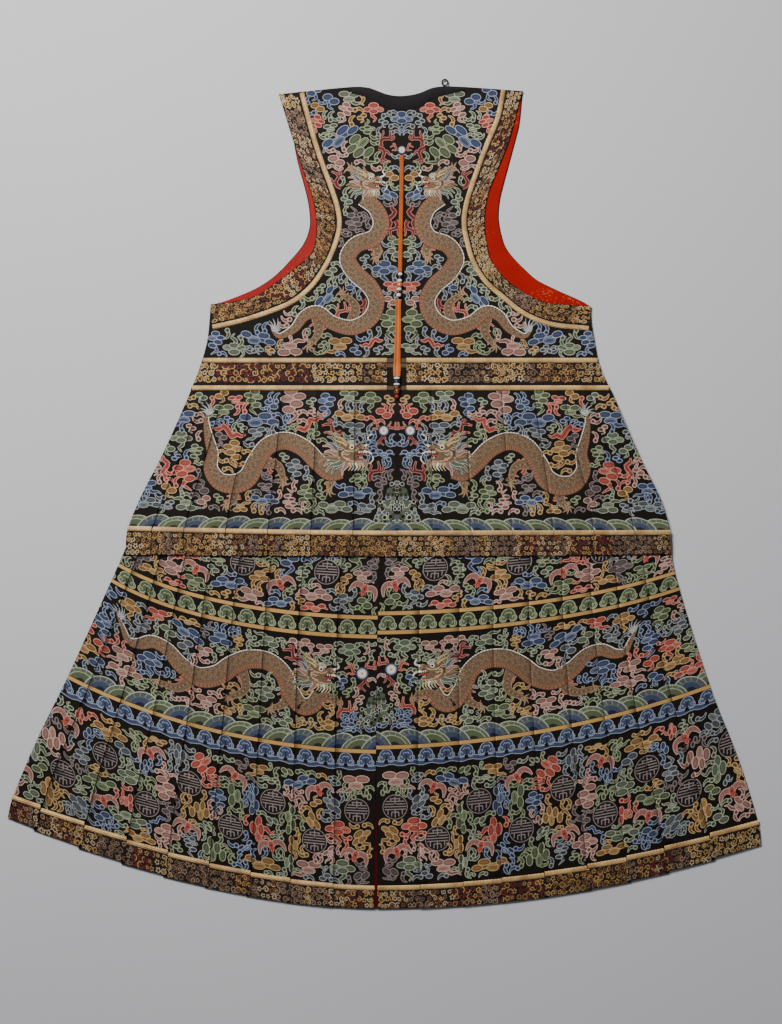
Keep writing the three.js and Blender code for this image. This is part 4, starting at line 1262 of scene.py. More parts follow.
class Fan:
  """A pleated panel: s runs from its centre line to its side seam, t down its centre line."""

  def __init__(self, shape, hang, folds, side, gap, ease=0.0):
    self.shape, self.hang, self.side, self.ease, self.gap = shape, hang, side, ease, gap
    self.way = WAYS[side]
    full = shape.columns[side][-1]
    self.hem = full - ease
    self.places = np.array([0, *folds[side], full]) / full
    self.feet = np.array([0, *(np.array(folds[side]) - RISER), full]) / full
    self.count = len(self.places) - 1

  def fold(self, k, t):
    """Where the k-th fold crosses each row."""
    u = self.places[k]
    c = 1 - (self.shape.at(self.side, t) - self.ease) / self.hem
    return self.hem * (u - c * u * u)

  def share(self, s, t):
    c = np.maximum(1 - (self.shape.at(self.side, t) - self.ease) / self.hem, 1e-6)
    return (1 - np.sqrt(np.maximum(1 - 4 * c * s / self.hem, 0))) / (2 * c)

  def stand(self, k, s, t):
    """How far a pleat stands up: 1 at its fold and 0 at the foot of the next."""
    across = (self.share(s, t) - self.places[k]) / (self.feet[k + 1] - self.places[k])
    return np.clip(1 - across, 0, 1) * (1 if k else 0.5)

  def lay(self, k, s, t, z):
    u = self.share(s, t)
    middle = (self.places[k] + self.places[k + 1]) / 2
    last = self.shape.columns["down"][-1]
    follow = 1 - STRAIGHTEN * smoothstep(t, last - 200, last - 60)
    level = np.clip(middle + follow * (u - middle), 0, None)
    rise = self.hang.at(self.side, t) * level ** self.hang.at("bend_" + self.side, t)
    x = self.shape.at("axis", t) + self.way * (s + self.gap(t) * (1 - u))
    return place(x, t - rise, z)

  def cells(self, t_steps):
    """The outlines of the pleats, the turned edge of each apart, and the pleat that each is in."""
    cells, strips = [], []
    for k in range(self.count):
      edges = [self.fold(k, t_steps), self.fold(k + 1, t_steps)]
      if k:
        edges.insert(1, edges[0] + TURNED_EDGE)
      for a, b in zip(edges[:-1], edges[1:]):
        down = pair(a, t_steps)
        cells.append(np.vstack([down, pair(b, t_steps)[::-1]]))
        strips.append(k)
    return cells, np.array(strips)

  def net(self, t_steps):
    points = []
    for k in range(self.count):
      a, b = self.fold(k, t_steps), self.fold(k + 1, t_steps)
      for share in (0.34, 0.67):
        points += list(zip(a + share * (b - a), t_steps))
    return points


def skirt_gap(t):
  """How far the back skirt's inner edge stands off the centre line, more at the vent."""
  return SEAM + 2.2 * smoothstep(t, 1100, 1370)


def swell(k, t):
  """The small unevenness that hanging leaves along a pleat."""
  return 0.3 * (1 + np.sin(np.asarray(t) / 57 + 1.9 * k)) * smoothstep(t, 560, 800)


def settled(t):
  """How far the skirts sink below the hem of the tier that lies under them."""
  return TIER_DROP * smoothstep(t, 884, 960)


# A level gives the height of a pleat's face, and how loose the pleats are at that place.
def skirt_level(k, stand, t):
  loose = smoothstep(t, 520, 600)
  base = 2 * (CLOTH + SEAM) + 2 * UNDER_FOLD * loose - settled(t)
  return base + CLOTH + FOLD * loose * stand + 0.4 * swell(k, t), loose


def tier_level(k, stand, t):
  loose = smoothstep(t, 505, 555)
  base = 3 * (CLOTH + SEAM) + (2 * UNDER_FOLD + FOLD) * loose
  return base + CLOTH + FOLD * loose * stand + 0.5 * swell(k, t), loose


def front_tier_level(_, stand, t):
  loose = smoothstep(t, 540, 620)
  return UNDER_FOLD * loose * (1 - stand), -loose * UNDER_FOLD


def front_skirt_level(_, stand, t):
  loose = smoothstep(t, 520, 600)
  base = CLOTH + SEAM + UNDER_FOLD * loose - settled(t)
  return base + UNDER_FOLD * loose * (1 - stand), -loose * UNDER_FOLD


THIN = 0.9  # the thickness of a pleated panel's shell


def pleated(name, finish, fan, design, t_steps, level, up=1, shift=0.0, ground="black", plain=FINE):
  """A pleated panel, each pleat a shell with a rolled fold and a plain return under the next."""
  cells, strips = fan.cells(t_steps)
  shifted = Design()
  shifted.figures = [(p - (0, shift), thread) for p, thread in design.figures]
  flat, triangles, cell, thread = weave(cells, shifted, fan.net(t_steps), ground, plain)
  strip = strips[cell]
  sewing = Sewing()
  last = fan.count - 1
  for k in range(fan.count):
    def face(s, t):
      return fan.lay(k, s, t, level(k, fan.stand(k, s, t), t)[0])

    def back(s, t):
      z, loose = level(k, fan.stand(k, s, t), t)
      near = np.exp(-(s - fan.fold(k, t)) / 9) if k else 0
      return fan.lay(k, s, t, z - up * THIN * (1 + 0.9 * abs(loose) * near))

    def roll(s, t):
      return np.where((s - fan.fold(k, t) < 0.02) & (k > 0), FOLD_ROLL, CUT_ROLL)

    # Lighter along the turned fold as wear, and darker at the foot where the next pleat overhangs it:
    # painted shade.
    def wear(s, t):
      fold = np.exp((fan.fold(k, t) - s) / 2.2) if k else 0
      foot = np.exp(-np.maximum(fan.fold(k + 1, t) - s, 0) / 3.2) if k < last else 0
      return fold - foot

    mine = strip == k
    sewing.shell(flat, triangles[mine], thread[mine], face, back, roll, wear, up)
    if k == last:
      continue
    q_flat, q_triangles = grid(np.array([-0.4, TUCK]), t_steps[t_steps > TUCK_START])

    def tuck(drop):
      return lambda q, t: fan.lay(k, fan.fold(k + 1, t) + q, t, level(k, 0, t)[0] - up * drop)

    # The tuck under the next pleat is black and painted fully dark as shade.
    sewing.shell(q_flat, q_triangles, NUMBER["black"], tuck(LIFT), tuck(TUCK_CLOTH),
                 wear=lambda q, t: -np.ones(len(q)), up=up)
  return sewing.make(name, finish)


def half_round(v):
  """The height of a half-round roll from -1 at one rim to 1 at the other."""
  return np.sqrt(np.maximum(1 - v * v, 0))


def hem_piping(name, finish, fan, seam, level):
  """Gold piping over the seam of a hem band, a length for each pleat."""
  sewing = Sewing()
  for k in range(fan.count):
    start = fan.fold(k, seam) + (HALF_SEAM if k else 0)
    end = fan.fold(k + 1, seam) + (1.0 if k < fan.count - 1 else 0)
    flat, triangles = grid(np.linspace(start, end, 9), np.linspace(0, 1, 9))

    def lay(height):
      def side(s, v):
        t = seam - PIPING_WIDTH * (1 - v)
        return fan.lay(k, s, t, level(k, fan.stand(k, s, t), t)[0] + height(v))
      return side

    sewing.shell(flat, triangles, NUMBER["gold"],
                 lay(lambda v: PIPING_RIM + HEM_PIPING_HEIGHT * half_round(2 * v - 1)),
                 lay(lambda v: PIPING_UNDER))
  # The cloth map runs along the piping and round it.
  sewing.flat = [f * (1, PIPING_WIDTH) for f in sewing.flat]
  return sewing.make(name, finish)


# ---- how the bodice lies ----
# Soft ridges left by folding: x and down of the middle, half length, half width, turn from the
# vertical and height.
CREASES = ((-150, 300, 90, 16, 62, 0.9), (152, 310, 80, 15, -60, 0.8), (-70, 250, 110, 12, 8, 0.6),
           (84, 130, 80, 14, -14, 0.7), (-110, 90, 70, 13, 18, 0.7), (60, 380, 90, 13, 80, 0.6),
           (-240, 420, 80, 11, 84, 0.7), (230, 420, 70, 12, -86, 0.6), (-60, 400, 70, 12, -75, 0.5))


def lie(x, down):
  """How far the bodice's layers lift off the ones below, clear of the cord at the centre."""
  rise = np.zeros(np.shape(x))
  for cx, cd, long, wide, turn, height in CREASES:
    a = math.radians(turn)
    dx, dd = x - cx, down - cd
    u = dx * math.sin(a) + dd * math.cos(a)
    v = dx * math.cos(a) - dd * math.sin(a)
    rise = rise + height * np.exp(-(u / long) ** 2 * 2 - (v / wide) ** 2 * 1.5)
  return rise * smoothstep(np.abs(x), 14, 50) * smoothstep(456 - down, 0, 30)


def bodice_outline(side, armhole, neck, inner, ease):
  """The cut of half a bodice as s and t: neck, shoulder, armhole, side seam and waist."""
  way = WAYS[side]
  top = np.unique(np.concatenate([np.linspace(inner, 100, 22), np.linspace(100, 200, 6)]))
  line = [(s, float(neck.at("down", way * s))) for s in top if s < armhole[side].columns["half"][0] - 3]
  edge, _ = armhole[side].line(44)
  line += [(half - ease, down) for down, half in edge]
  foot = WAIST_TOP - HALF_SEAM
  line += [(float(SIDE_SEAM.at(side, t)) - ease, t) for t in (375, 388, 406, 424, 442, foot)]
  line += [(s, foot) for s in np.linspace(line[-1][0], inner, 16)[1:]]
  line += [(inner, t) for t in np.linspace(foot, line[0][1], 24)[1:-1]]
  return np.array(line)


def bodice_panel(name, finish, side, armhole, neck, inner, ease, design, z_face, z_back, up=1):
  outline = bodice_outline(side, armhole, neck, inner, ease)
  net = [(s, t) for s in np.arange(inner + 12, 330, 16) for t in np.arange(4, 455, 16)]
  flat, triangles, _, thread = weave([outline], design, net, plain=FINE if up > 0 else COARSE)

  def at(z):
    return lambda s, t: place(WAYS[side] * s, t, z + lie(WAYS[side] * s, t) * (z > 0))

  return one_shell(name, finish, flat, triangles, thread, at(z_face), at(z_back), up=up)


ARMHOLE_STEPS = 90
ARMHOLE_BAND_WIDTH = 37.0


def between(rows, a, length):
  """Rows of a line read at distances along a strip of that length."""
  i = np.clip(np.asarray(a) / length, 0, 1) * (len(rows) - 1)
  return np.stack([np.interp(i, np.arange(len(rows)), rows[:, k]) for k in (0, 1)], axis=-1)


def armhole_band(name, finish, side, design):
  edge, edge_out = BACK_ARMHOLE[side].line(ARMHOLE_STEPS)
  line, line_out = ARMHOLE_PIPING[side].line(ARMHOLE_STEPS)
  outer = edge - 0.5 * edge_out
  inner = line + (PIPING_WIDTH / 2 + SEAM) * line_out
  length = distances((outer + inner) / 2)[-1]
  # The band's dark edge, beside the piping.
  design.stroke([(-1, 36), (570, 36)], 1.4, "black")
  steps = np.linspace(0, length, 60)
  cell = np.vstack([pair(steps, 0 * steps), pair(steps, 0 * steps + ARMHOLE_BAND_WIDTH)[::-1]])
  net = [(a, v) for a in steps for v in (12, 24)]
  flat, triangles, _, thread = weave([cell], design, net, "umber")

  def at(z):
    def lay(a, v):
      q = (v / ARMHOLE_BAND_WIDTH)[:, None]
      p = between(outer, a, length) * (1 - q) + between(inner, a, length) * q
      x = WAYS[side] * p[:, 1]
      return place(x, p[:, 0], z + lie(x, p[:, 0]))
    return lay

  low = BODICE_HIGH + LIFT
  return one_shell(name, finish, flat, triangles, thread, at(low + BAND_CLOTH + 0.15), at(low))


def round_piping(name, finish, lay, length, low):
  """A length of half-round piping. lay gives x and down at a distance along and an offset."""
  flat, triangles = grid(np.linspace(0, length, max(8, int(length / 6))), np.linspace(-1, 1, 9))

  def at(height):
    def side(a, v):
      x, down = lay(a, v * PIPING_WIDTH / 2)
      return place(x, down, low + lie(x, down) + height(v))
    return side

  return one_shell(name, finish, flat, triangles, NUMBER["gold"],
                   at(lambda v: PIPING_RIM + PIPING_HEIGHT * half_round(v)),
                   at(lambda v: PIPING_UNDER), stretch=(1, PIPING_WIDTH / 2))


def armhole_piping(name, finish, side):
  line, line_out = ARMHOLE_PIPING[side].line(ARMHOLE_STEPS)
  length = distances(line)[-1]

  def lay(a, offset):
    p = between(line, a, length) + between(line_out, a, length) * offset[:, None]
    return WAYS[side] * p[:, 1], p[:, 0]

  return round_piping(name, finish, lay, length, BODICE_HIGH + LIFT)


def waist_piping(name, finish, side, centre, low):
  inner, outer = STRIP_SIDE[side], float(SIDE_SEAM.at(side, centre)) - 1

  def lay(a, offset):
    return WAYS[side] * (inner + a), centre + offset

  return round_piping(name, finish, lay, outer - inner, low + LIFT)


def waist_band(name, finish, side, inner, ease, design, z_face, z_back, up=1):
  downs = np.linspace(WAIST_TOP + HALF_SEAM, WAIST_LINE - HALF_SEAM, 5)
  outer = SIDE_SEAM.at(side, downs) - ease
  steps = np.linspace(0, 1, 20)
  top = [(inner + q * (outer[0] - inner), 0) for q in steps]
  right = [(o, t - downs[0]) for o, t in zip(outer[1:-1], downs[1:-1])]
  bottom = [(inner + q * (outer[-1] - inner), downs[-1] - downs[0]) for q in steps[::-1]]
  net = [(s, t) for s in np.arange(inner + 8, outer[0], 16) for t in (15, 30)]
  flat, triangles, _, thread = weave([np.array(top + right + bottom)], design, net, "umber")

  def at(z):
    return lambda s, t: place(WAYS[side] * s, downs[0] + t, z)

  return one_shell(name, finish, flat, triangles, thread, at(z_face), at(z_back), up=up)


def with_hem(design, seam, hem, length, seed):
  """The same design with a gold line and a brocade hem woven on at its foot."""
  depth = hem - seam
  whole = Design()
  whole.figures = list(design.figures)
  whole.shape([(-8, seam), (length, seam), (length, seam + depth), (-8, seam + depth)], "umber")
  for points, thread in brocade_design(length, depth - 2, seed).figures:
    whole.figures.append((points + (0, seam + 1), thread))
  gold_line(whole, seam - 4, length, 3.2)
  return whole


# ---- finishes ----
class Finish:
  """A material made up node by node."""

  def __init__(self, name, **settings):
    self.material = bpy.data.materials.new(name)
    self.material.use_nodes = True
    self.tree = self.material.node_tree
    self.shader = self.tree.nodes["Principled BSDF"]
    for socket, value in settings.items():
      self.shader.inputs[socket.replace("_", " ")].default_value = value

  def node(self, kind, inputs=(), **properties):
    made = self.tree.nodes.new(kind)
    for key, value in properties.items():
      setattr(made, key, value)
    for socket, value in dict(inputs).items():
      self.feed(made.inputs[socket], value)
    return made

  def feed(self, socket, value):
    if isinstance(value, bpy.types.NodeSocket):
      self.tree.links.new(value, socket)
    else:
      socket.default_value = value

  def cloth(self, along, across, turn=0.0):
    """Places along and across the cloth, in repeats to the metre."""
    uv = self.node("ShaderNodeUVMap", uv_map="Cloth").outputs[0]
    sizes = {"Vector": uv, "Scale": (along, across, 1.0), "Rotation": (0, 0, math.radians(turn))}
    return self.node("ShaderNodeMapping", sizes).outputs[0]

  def here(self, scale):
    spot = self.node("ShaderNodeTexCoord").outputs["Object"]
    return self.node("ShaderNodeMapping", {"Vector": spot, "Scale": (scale,) * 3}).outputs[0]

  def noise(self, vector, detail=2.0, roughness=0.5):
    sizes = {"Vector": vector, "Scale": 1.0, "Detail": detail, "Roughness": roughness}
    return self.node("ShaderNodeTexNoise", sizes).outputs[0]

  def waves(self, vector, scale, distortion=0.0):
    sizes = {"Vector": vector, "Scale": scale, "Distortion": distortion}
    return self.node("ShaderNodeTexWave", sizes, bands_direction="X").outputs[1]

  def cells(self, vector):
    return self.node("ShaderNodeTexVoronoi", {"Vector": vector, "Scale": 1.0}).outputs[0]

  def span(self, value, low, high, start=0.0, end=1.0):
    ends = {"Value": value, "From Min": start, "From Max": end, "To Min": low, "To Max": high}
    return self.node("ShaderNodeMapRange", ends).outputs[0]

  def sum(self, kind, a, b):
    return self.node("ShaderNodeMath", {0: a, 1: b}, operation=kind).outputs[0]

  def dim(self, colour, amount):
    return self.node("ShaderNodeVectorMath", {0: colour, "Scale": amount}, operation="SCALE").outputs[0]

  def mix(self, share, a, b):
    made = self.node("ShaderNodeMix", data_type="RGBA")
    for socket, value in ((0, share), (6, a), (7, b)):
      self.feed(made.inputs[socket], value)
    return made.outputs[2]

  def read(self, name, output):
    return self.node("ShaderNodeAttribute", attribute_name=name).outputs[output]

  def relief(self, height, strength, distance):
    bump = self.node("ShaderNodeBump", {"Height": height, "Strength": strength, "Distance": distance})
    self.tree.links.new(bump.outputs[0], self.shader.inputs["Normal"])

  def done(self, **links):
    for socket, value in links.items():
      self.feed(self.shader.inputs[socket.replace("_", " ")], value)
    return self.material


def dye(r, g, b):
  return (linear(r), linear(g), linear(b), 1.0)


def worn_edge_and_painted_shade(finish, colour, edge=0.3, foot=0.8):
  """Lighter along a turned edge, as wear, and darker in the foot of a fold and over a tuck, as painted
  shade.
  """
  wear = finish.read("WearAndPaintedShade", "Fac")
  light = finish.span(wear, 1.0, 1.0 + edge)
  # Painted shade: values below nothing darken the colour where a pleat overhangs.
  dark = finish.span(wear, 1.0 - foot, 1.0, -1.0, 0.0)
  return finish.dim(finish.dim(colour, light), dark)


def woven_silk():
  f = Finish("woven_silk", Sheen_Weight=0.015, Sheen_Roughness=0.45, Specular_IOR_Level=0.14)
  f.shader.inputs["Sheen Tint"].default_value = dye(210, 205, 200)
  colour = f.read("Threads", "Color")
  gilt = f.read("Threads", "Alpha")
  batch = f.span(f.noise(f.here(7.0), 3.0), 0.82, 1.16, 0.25, 0.75)
  thread = f.span(f.noise(f.cloth(260.0, 1500.0)), 0.78, 1.2, 0.3, 0.7)
  colour = worn_edge_and_painted_shade(f, f.dim(f.dim(colour, batch), thread))
  rib = f.waves(f.cloth(0.0, 1.0, 90.0), 150.0)
  height = f.sum("ADD", f.sum("MULTIPLY", rib, 0.35), f.noise(f.cloth(400.0, 1300.0)))
  f.relief(height, 0.35, 0.0004)
  return f.done(Base_Color=colour, Roughness=f.span(gilt, 0.66, 0.46),
                Metallic=f.sum("MULTIPLY", gilt, 0.35))


def brocade():
  f = Finish("gold_brocade", Sheen_Weight=0.01, Specular_IOR_Level=0.2)
  colour = f.read("Threads", "Color")
  gilt = f.read("Threads", "Alpha")
  batch = f.span(f.noise(f.here(16.0), 3.0), 0.5, 0.92, 0.25, 0.75)
  thread = f.span(f.noise(f.cloth(900.0, 900.0), 3.0), 0.6, 1.35, 0.3, 0.7)
  colour = worn_edge_and_painted_shade(f, f.dim(f.dim(colour, batch), thread), 0.15, 0.5)
  height = f.noise(f.cloth(1100.0, 700.0), 3.0)
  f.relief(f.sum("ADD", height, f.sum("MULTIPLY", gilt, 0.6)), 0.5, 0.0004)
  return f.done(Base_Color=colour, Roughness=f.span(gilt, 0.7, 0.5),
                Metallic=f.sum("MULTIPLY", gilt, 0.4))


def gold_piping():
  f = Finish("gold_piping", Roughness=0.5, Metallic=0.2, Sheen_Weight=0.06)
  twist = f.waves(f.cloth(1.0, 1.0, 62.0), 120.0, 1.5)
  stain = f.noise(f.here(28.0), 4.0, 0.6)
  colour = f.mix(f.span(stain, 0.0, 0.75, 0.42, 0.68), dye(214, 174, 114), dye(138, 96, 52))
  colour = f.dim(colour, f.span(twist, 0.72, 1.1))
  colour = f.dim(colour, f.span(f.noise(f.cloth(420.0, 120.0)), 0.8, 1.15, 0.3, 0.7))
  f.relief(twist, 0.6, 0.0006)
  return f.done(Base_Color=colour)


def red_satin(name, bright, deep):
  f = Finish(name, Specular_IOR_Level=0.1)
  ground = f.mix(f.noise(f.here(9.0), 4.0), dye(*bright), dye(*deep))
  cells = f.cells(f.here(230.0))
  patch = f.span(f.noise(f.here(17.0), 1.0), 0.0, 1.0, 0.6, 0.72)
  fleck = f.sum("MULTIPLY", f.span(cells, 1.0, 0.0, 0.2, 0.34), patch)
  colour = f.mix(f.sum("MULTIPLY", fleck, 0.55), ground, dye(214, 150, 70))
  twill = f.waves(f.cloth(1.0, 1.0, 45.0), 260.0)
  f.relief(f.sum("ADD", twill, f.noise(f.here(60.0), 3.0)), 0.25, 0.0005)
  rough = f.span(f.noise(f.here(30.0), 3.0), 0.36, 0.52)
  return f.done(Base_Color=worn_edge_and_painted_shade(f, colour, 0.1, 0.5), Roughness=rough)


def black_satin():
  f = Finish("black_satin", Specular_IOR_Level=0.12)
  tone = f.noise(f.here(24.0), 4.0)
  colour = f.mix(tone, dye(6, 4, 7), dye(20, 15, 18))
  yarn = f.noise(f.cloth(300.0, 1600.0))
  f.relief(yarn, 0.35, 0.0005)
  return f.done(Base_Color=f.dim(colour, f.span(yarn, 0.8, 1.2)), Roughness=f.span(tone, 0.42, 0.6))


def braid(name, light, dark, turn, scale, strands=1.0):
  f = Finish(name, Sheen_Weight=0.04, Roughness=0.6, Specular_IOR_Level=0.2)
  plait = f.waves(f.cloth(1.0, strands, turn), scale, 0.6)
  tone = f.noise(f.here(40.0), 4.0)
  colour = f.mix(f.span(plait, 0.0, 0.8, 0.15, 0.75), dye(*dark), dye(*light))
  f.relief(f.sum("ADD", plait, f.noise(f.cloth(700.0, 700.0))), 0.6, 0.0006)
  return f.done(Base_Color=f.dim(colour, f.span(tone, 0.8, 1.15, 0.3, 0.7)))


def bead_finish(name, light, dark, roughness, coat):
  f = Finish(name, Coat_Weight=coat, Coat_Roughness=0.12)
  vein = f.noise(f.here(220.0), 5.0, 0.6)
  colour = f.mix(f.span(vein, 0.0, 1.0, 0.35, 0.65), dye(*light), dye(*dark))
  f.relief(vein, 0.12, 0.0004)
  return f.done(Base_Color=colour, Roughness=f.span(vein, roughness, roughness + 0.14))


def gilt_end():
  f = Finish("gilt_thread_end", Metallic=0.45)
  wrap = f.waves(f.cloth(1.0, 1.0, 20.0), 170.0, 3.0)
  cells = f.cells(f.cloth(420.0, 420.0))
  colour = f.mix(f.span(cells, 0.0, 1.0, 0.25, 0.45), dye(216, 150, 62), dye(86, 44, 26))
  f.relief(f.sum("ADD", wrap, cells), 0.6, 0.0006)
  return f.done(Base_Color=f.dim(colour, f.span(wrap, 0.75, 1.15)), Roughness=f.span(wrap, 0.38, 0.55))


def gilt_brass():
  f = Finish("gilt_brass", Metallic=0.9)
  patina = f.noise(f.here(160.0), 5.0, 0.65)
  colour = f.mix(f.span(patina, 0.0, 1.0, 0.4, 0.7), dye(206, 160, 84), dye(104, 70, 38))
  f.relief(patina, 0.25, 0.0003)
  return f.done(Base_Color=colour, Roughness=f.span(patina, 0.26, 0.5))


FINISH = {
    "navy_silk": woven_silk(), "brocade": brocade(), "gold_piping": gold_piping(),
    "red_lining": red_satin("red_figured_satin", (164, 20, 13), (124, 13, 12)),
    # The vent's lining is the same red satin, painted darker as the shade inside the vent.
    "vent_lining": red_satin("shaded_red_satin", (100, 9, 16), (66, 6, 12)),
    "black_satin": black_satin(),
    "orange_cord": braid("orange_silk_cord", (212, 108, 34), (128, 54, 16), 55.0, 110.0),
    "orange_tape": braid("orange_silk_tape", (216, 116, 40), (156, 74, 24), 90.0, 130.0),
    "black_thread": braid("black_silk_thread", (44, 42, 48), (14, 14, 18), 50.0, 260.0),
    "dun_thread": braid("dun_silk_thread", (150, 116, 74), (92, 64, 40), 40.0, 300.0),
    "white_bead": bead_finish("white_bead", (236, 232, 222), (196, 200, 206), 0.24, 0.5),
    "dark_bead": bead_finish("dark_bead", (34, 34, 40), (12, 12, 16), 0.2, 0.5),
    "coral_bead": bead_finish("coral_bead", (222, 116, 66), (184, 74, 44), 0.28, 0.4),
    "blue_bead": bead_finish("blue_bead", (40, 58, 92), (18, 26, 48), 0.2, 0.5),
    "gold_cap": gilt_end(), "gilt_brass": gilt_brass(),
    "red_tip": braid("red_silk_tip", (196, 62, 48), (120, 26, 28), 80.0, 160.0),
}


# ---- turned, twisted and stitched pieces ----
def rings(name, finish, loops):
  """A closed form through equal rings of points, its ends filled, with a cloth map round it."""
  loops = np.asarray(loops)
  m, n = loops.shape[:2]
  points = np.vstack([loops.reshape(-1, 3), loops[0].mean(axis=0), loops[-1].mean(axis=0)])
  around = [(i, (i + 1) % n) for i in range(n)]
  faces = [(j * n + a, j * n + b, (j + 1) * n + b, (j + 1) * n + a)
           for j in range(m - 1) for a, b in around]
  faces += [(m * n, b, a) for a, b in around]
  faces += [(m * n + 1, (m - 1) * n + a, (m - 1) * n + b) for a, b in around]
  mesh = mesh_of(name, points, faces)
  along = distances(loops.mean(axis=1))
  girth = distances(loops[m // 2])[-1]
  flat = []
  for face in faces:
    wrap = len(face) == 4 and any(v % n == n - 1 for v in face)
    for v in face:
      j, i = divmod(v, n) if v < m * n else ((v - m * n) * (m - 1), 0)
      flat.append((along[j], girth * (n if wrap and i == 0 else i) / n))
  map_cloth(mesh, flat)
  mesh.calc_loop_triangles()
  volume = 0.0
  for triangle in mesh.loop_triangles:
    a, b, c = (mesh.vertices[v].co for v in triangle.vertices)
    volume += a.dot(b.cross(c))
  if volume < 0:
    mesh.flip_normals()
  return finished(name, mesh, finish, name)


def frames_along(path):
  """The sideways and upward directions at each point of a path that lies on the garment."""
  way = np.gradient(path, axis=0)
  way /= np.linalg.norm(way, axis=1)[:, None]
  side = np.cross(way, (0, 0, 1.0))
  side /= np.linalg.norm(side, axis=1)[:, None]
  return side, np.cross(side, way)


def turned_bead(name, finish, x, start, z, length, radius, taper):
  """A bead on the cord, its axis down the back."""
  shape = smooth([(0, 0.3), (0.06, 0.62), (0.24, 0.93), (0.5, 1.0), (0.76, 0.93), (0.94, taper),
                  (1, 0.3)], 0.06)
  a = np.linspace(0, 2 * math.pi, 24, endpoint=False)
  return rings(name, finish, [place(x + radius * r * np.cos(a), start + length * h,
                                    z + radius * r * np.sin(a)) for h, r in shape])


def stitch_tree():
  """Stitches of one size at even steps along a seam line."""
  tree = bpy.data.node_groups.new("stitches_along_a_seam", "GeometryNodeTree")
  face = tree.interface
  face.new_socket("Seam", in_out="INPUT", socket_type="NodeSocketGeometry")
  for label, value in (("Spacing", 0.006), ("Along", 0.003), ("Across", 0.0008), ("Height", 0.0005)):
    face.new_socket(label, in_out="INPUT", socket_type="NodeSocketFloat").default_value = value
  face.new_socket("Thread", in_out="INPUT", socket_type="NodeSocketMaterial")
  face.new_socket("Stitches", in_out="OUTPUT", socket_type="NodeSocketGeometry")
  given, result, curve, spaced, ball, size, tangent, turn, jitter, scale, put, real, thread = map(
      tree.nodes.new,
      ("NodeGroupInput", "NodeGroupOutput", "GeometryNodeMeshToCurve", "GeometryNodeResampleCurve",
       "GeometryNodeMeshIcoSphere", "ShaderNodeCombineXYZ", "GeometryNodeInputTangent",
       "FunctionNodeAlignRotationToVector", "FunctionNodeRandomValue", "ShaderNodeVectorMath",
       "GeometryNodeInstanceOnPoints", "GeometryNodeRealizeInstances", "GeometryNodeSetMaterial"))
  spaced.mode, turn.axis, jitter.data_type, scale.operation = "LENGTH", "X", "FLOAT", "SCALE"
  for node, socket, value in ((ball, "Subdivisions", 1), (ball, "Radius", 0.5), (jitter, 2, 0.75),
                              (jitter, 3, 1.15), (jitter, "Seed", 7)):
    node.inputs[socket].default_value = value
  for source, output, target, socket in (
      (given, "Seam", curve, "Mesh"), (curve, "Curve", spaced, "Curve"),
      (given, "Spacing", spaced, "Length"), (given, "Along", size, "X"), (given, "Across", size, "Y"),
      (given, "Height", size, "Z"), (size, 0, scale, 0), (jitter, 1, scale, "Scale"),
      (tangent, 0, turn, "Vector"), (spaced, "Curve", put, "Points"), (ball, "Mesh", put, "Instance"),
      (turn, 0, put, "Rotation"), (scale, 0, put, "Scale"), (put, "Instances", real, "Geometry"),
      (real, "Geometry", thread, "Geometry"), (given, "Thread", thread, "Material"),
      (thread, "Geometry", result, "Stitches"),
  ):
    tree.links.new(source.outputs[output], target.inputs[socket])
  return tree


STITCHES = stitch_tree()
COUCHING = {"Spacing": 7.0, "Along": 0.55, "Across": PIPING_WIDTH, "Height": 2.3}
STITCH_LIFT = 0.6


def stitched(name, finish, line):
  """Stitches along a line of points."""
  seam = bpy.data.meshes.new(name + "_seam")
  seam.from_pydata([tuple(p) for p in line], [(k, k + 1) for k in range(len(line) - 1)], [])
  maker = stood(name + "_seam", seam)
  sewing = maker.modifiers.new("Stitches", "NODES")
  sewing.node_group = STITCHES
  names = {item.name: item.identifier for item in STITCHES.interface.items_tree if item.in_out == "INPUT"}
  for label, value in COUCHING.items():
    sewing[names[label]] = value * MM
  sewing[names["Thread"]] = FINISH[finish]
  view = bpy.context.evaluated_depsgraph_get()
  mesh = bpy.data.meshes.new_from_object(maker.evaluated_get(view))
  mesh.name = name
  bpy.data.objects.remove(maker)
  mesh.shade_smooth()
  return finished(name, mesh, finish)


# ---- camera ----
VIEW_HEIGHT = 1.711
CAMERA_HEIGHT = 6.0
VIEW_MIDDLE = (-18, 707.8)  # in the garment's millimetres


def add_camera():
  camera = bpy.data.cameras.new("copy_camera")
  camera.sensor_fit = "VERTICAL"
  camera.sensor_height = 24.0
  camera.lens = camera.sensor_height * CAMERA_HEIGHT / VIEW_HEIGHT
  camera.clip_end = 40.0
  stand = stood("copy_camera", camera)
  stand.location = place(*VIEW_MIDDLE, CAMERA_HEIGHT / MM)
  bpy.context.scene.camera = stand


# ---- the cord down the centre back ----
CORD_ROUTE = ((0, 112, 7.3), (-0.3, 160, 7.3), (-1.4, 220, 7.3), (-2.2, 270, 7.3), (-2.5, 292, 8.2),
              (-2.6, 308, 9.3))
STRAND = 2.3
TAPE = Table("down x half low", (353, -5.6, 4.8, 8.4), (364, -5.8, 4.8, 6.8), (378, -6.0, 4.9, 4.7),
             (392, -6.2, 5.0, 4.4), (436, -7.3, 5.5, 4.4), (450, -7.6, 5.7, 5.2), (462, -7.9, 5.9, 5.7),
             (474, -8.2, 6.1, 8.2), (482, -8.3, 6.2, 9.9))
TAPE_CLOTH = 1.8
BEAD_START, BEAD_AXIS = 308.3, 9.3
TAPE_TOP, TAPE_FOOT = 353, 482
UPPER_BEADS = ((5.6, 3.6, "white_bead"), (4.4, 3.2, "dark_bead"), (5.6, 3.8, "white_bead"),
               (8.0, 5.0, "coral_bead"), (5.8, 4.0, "white_bead"), (3.4, 3.4, "dark_bead"),
               (6.0, 4.0, "white_bead"))
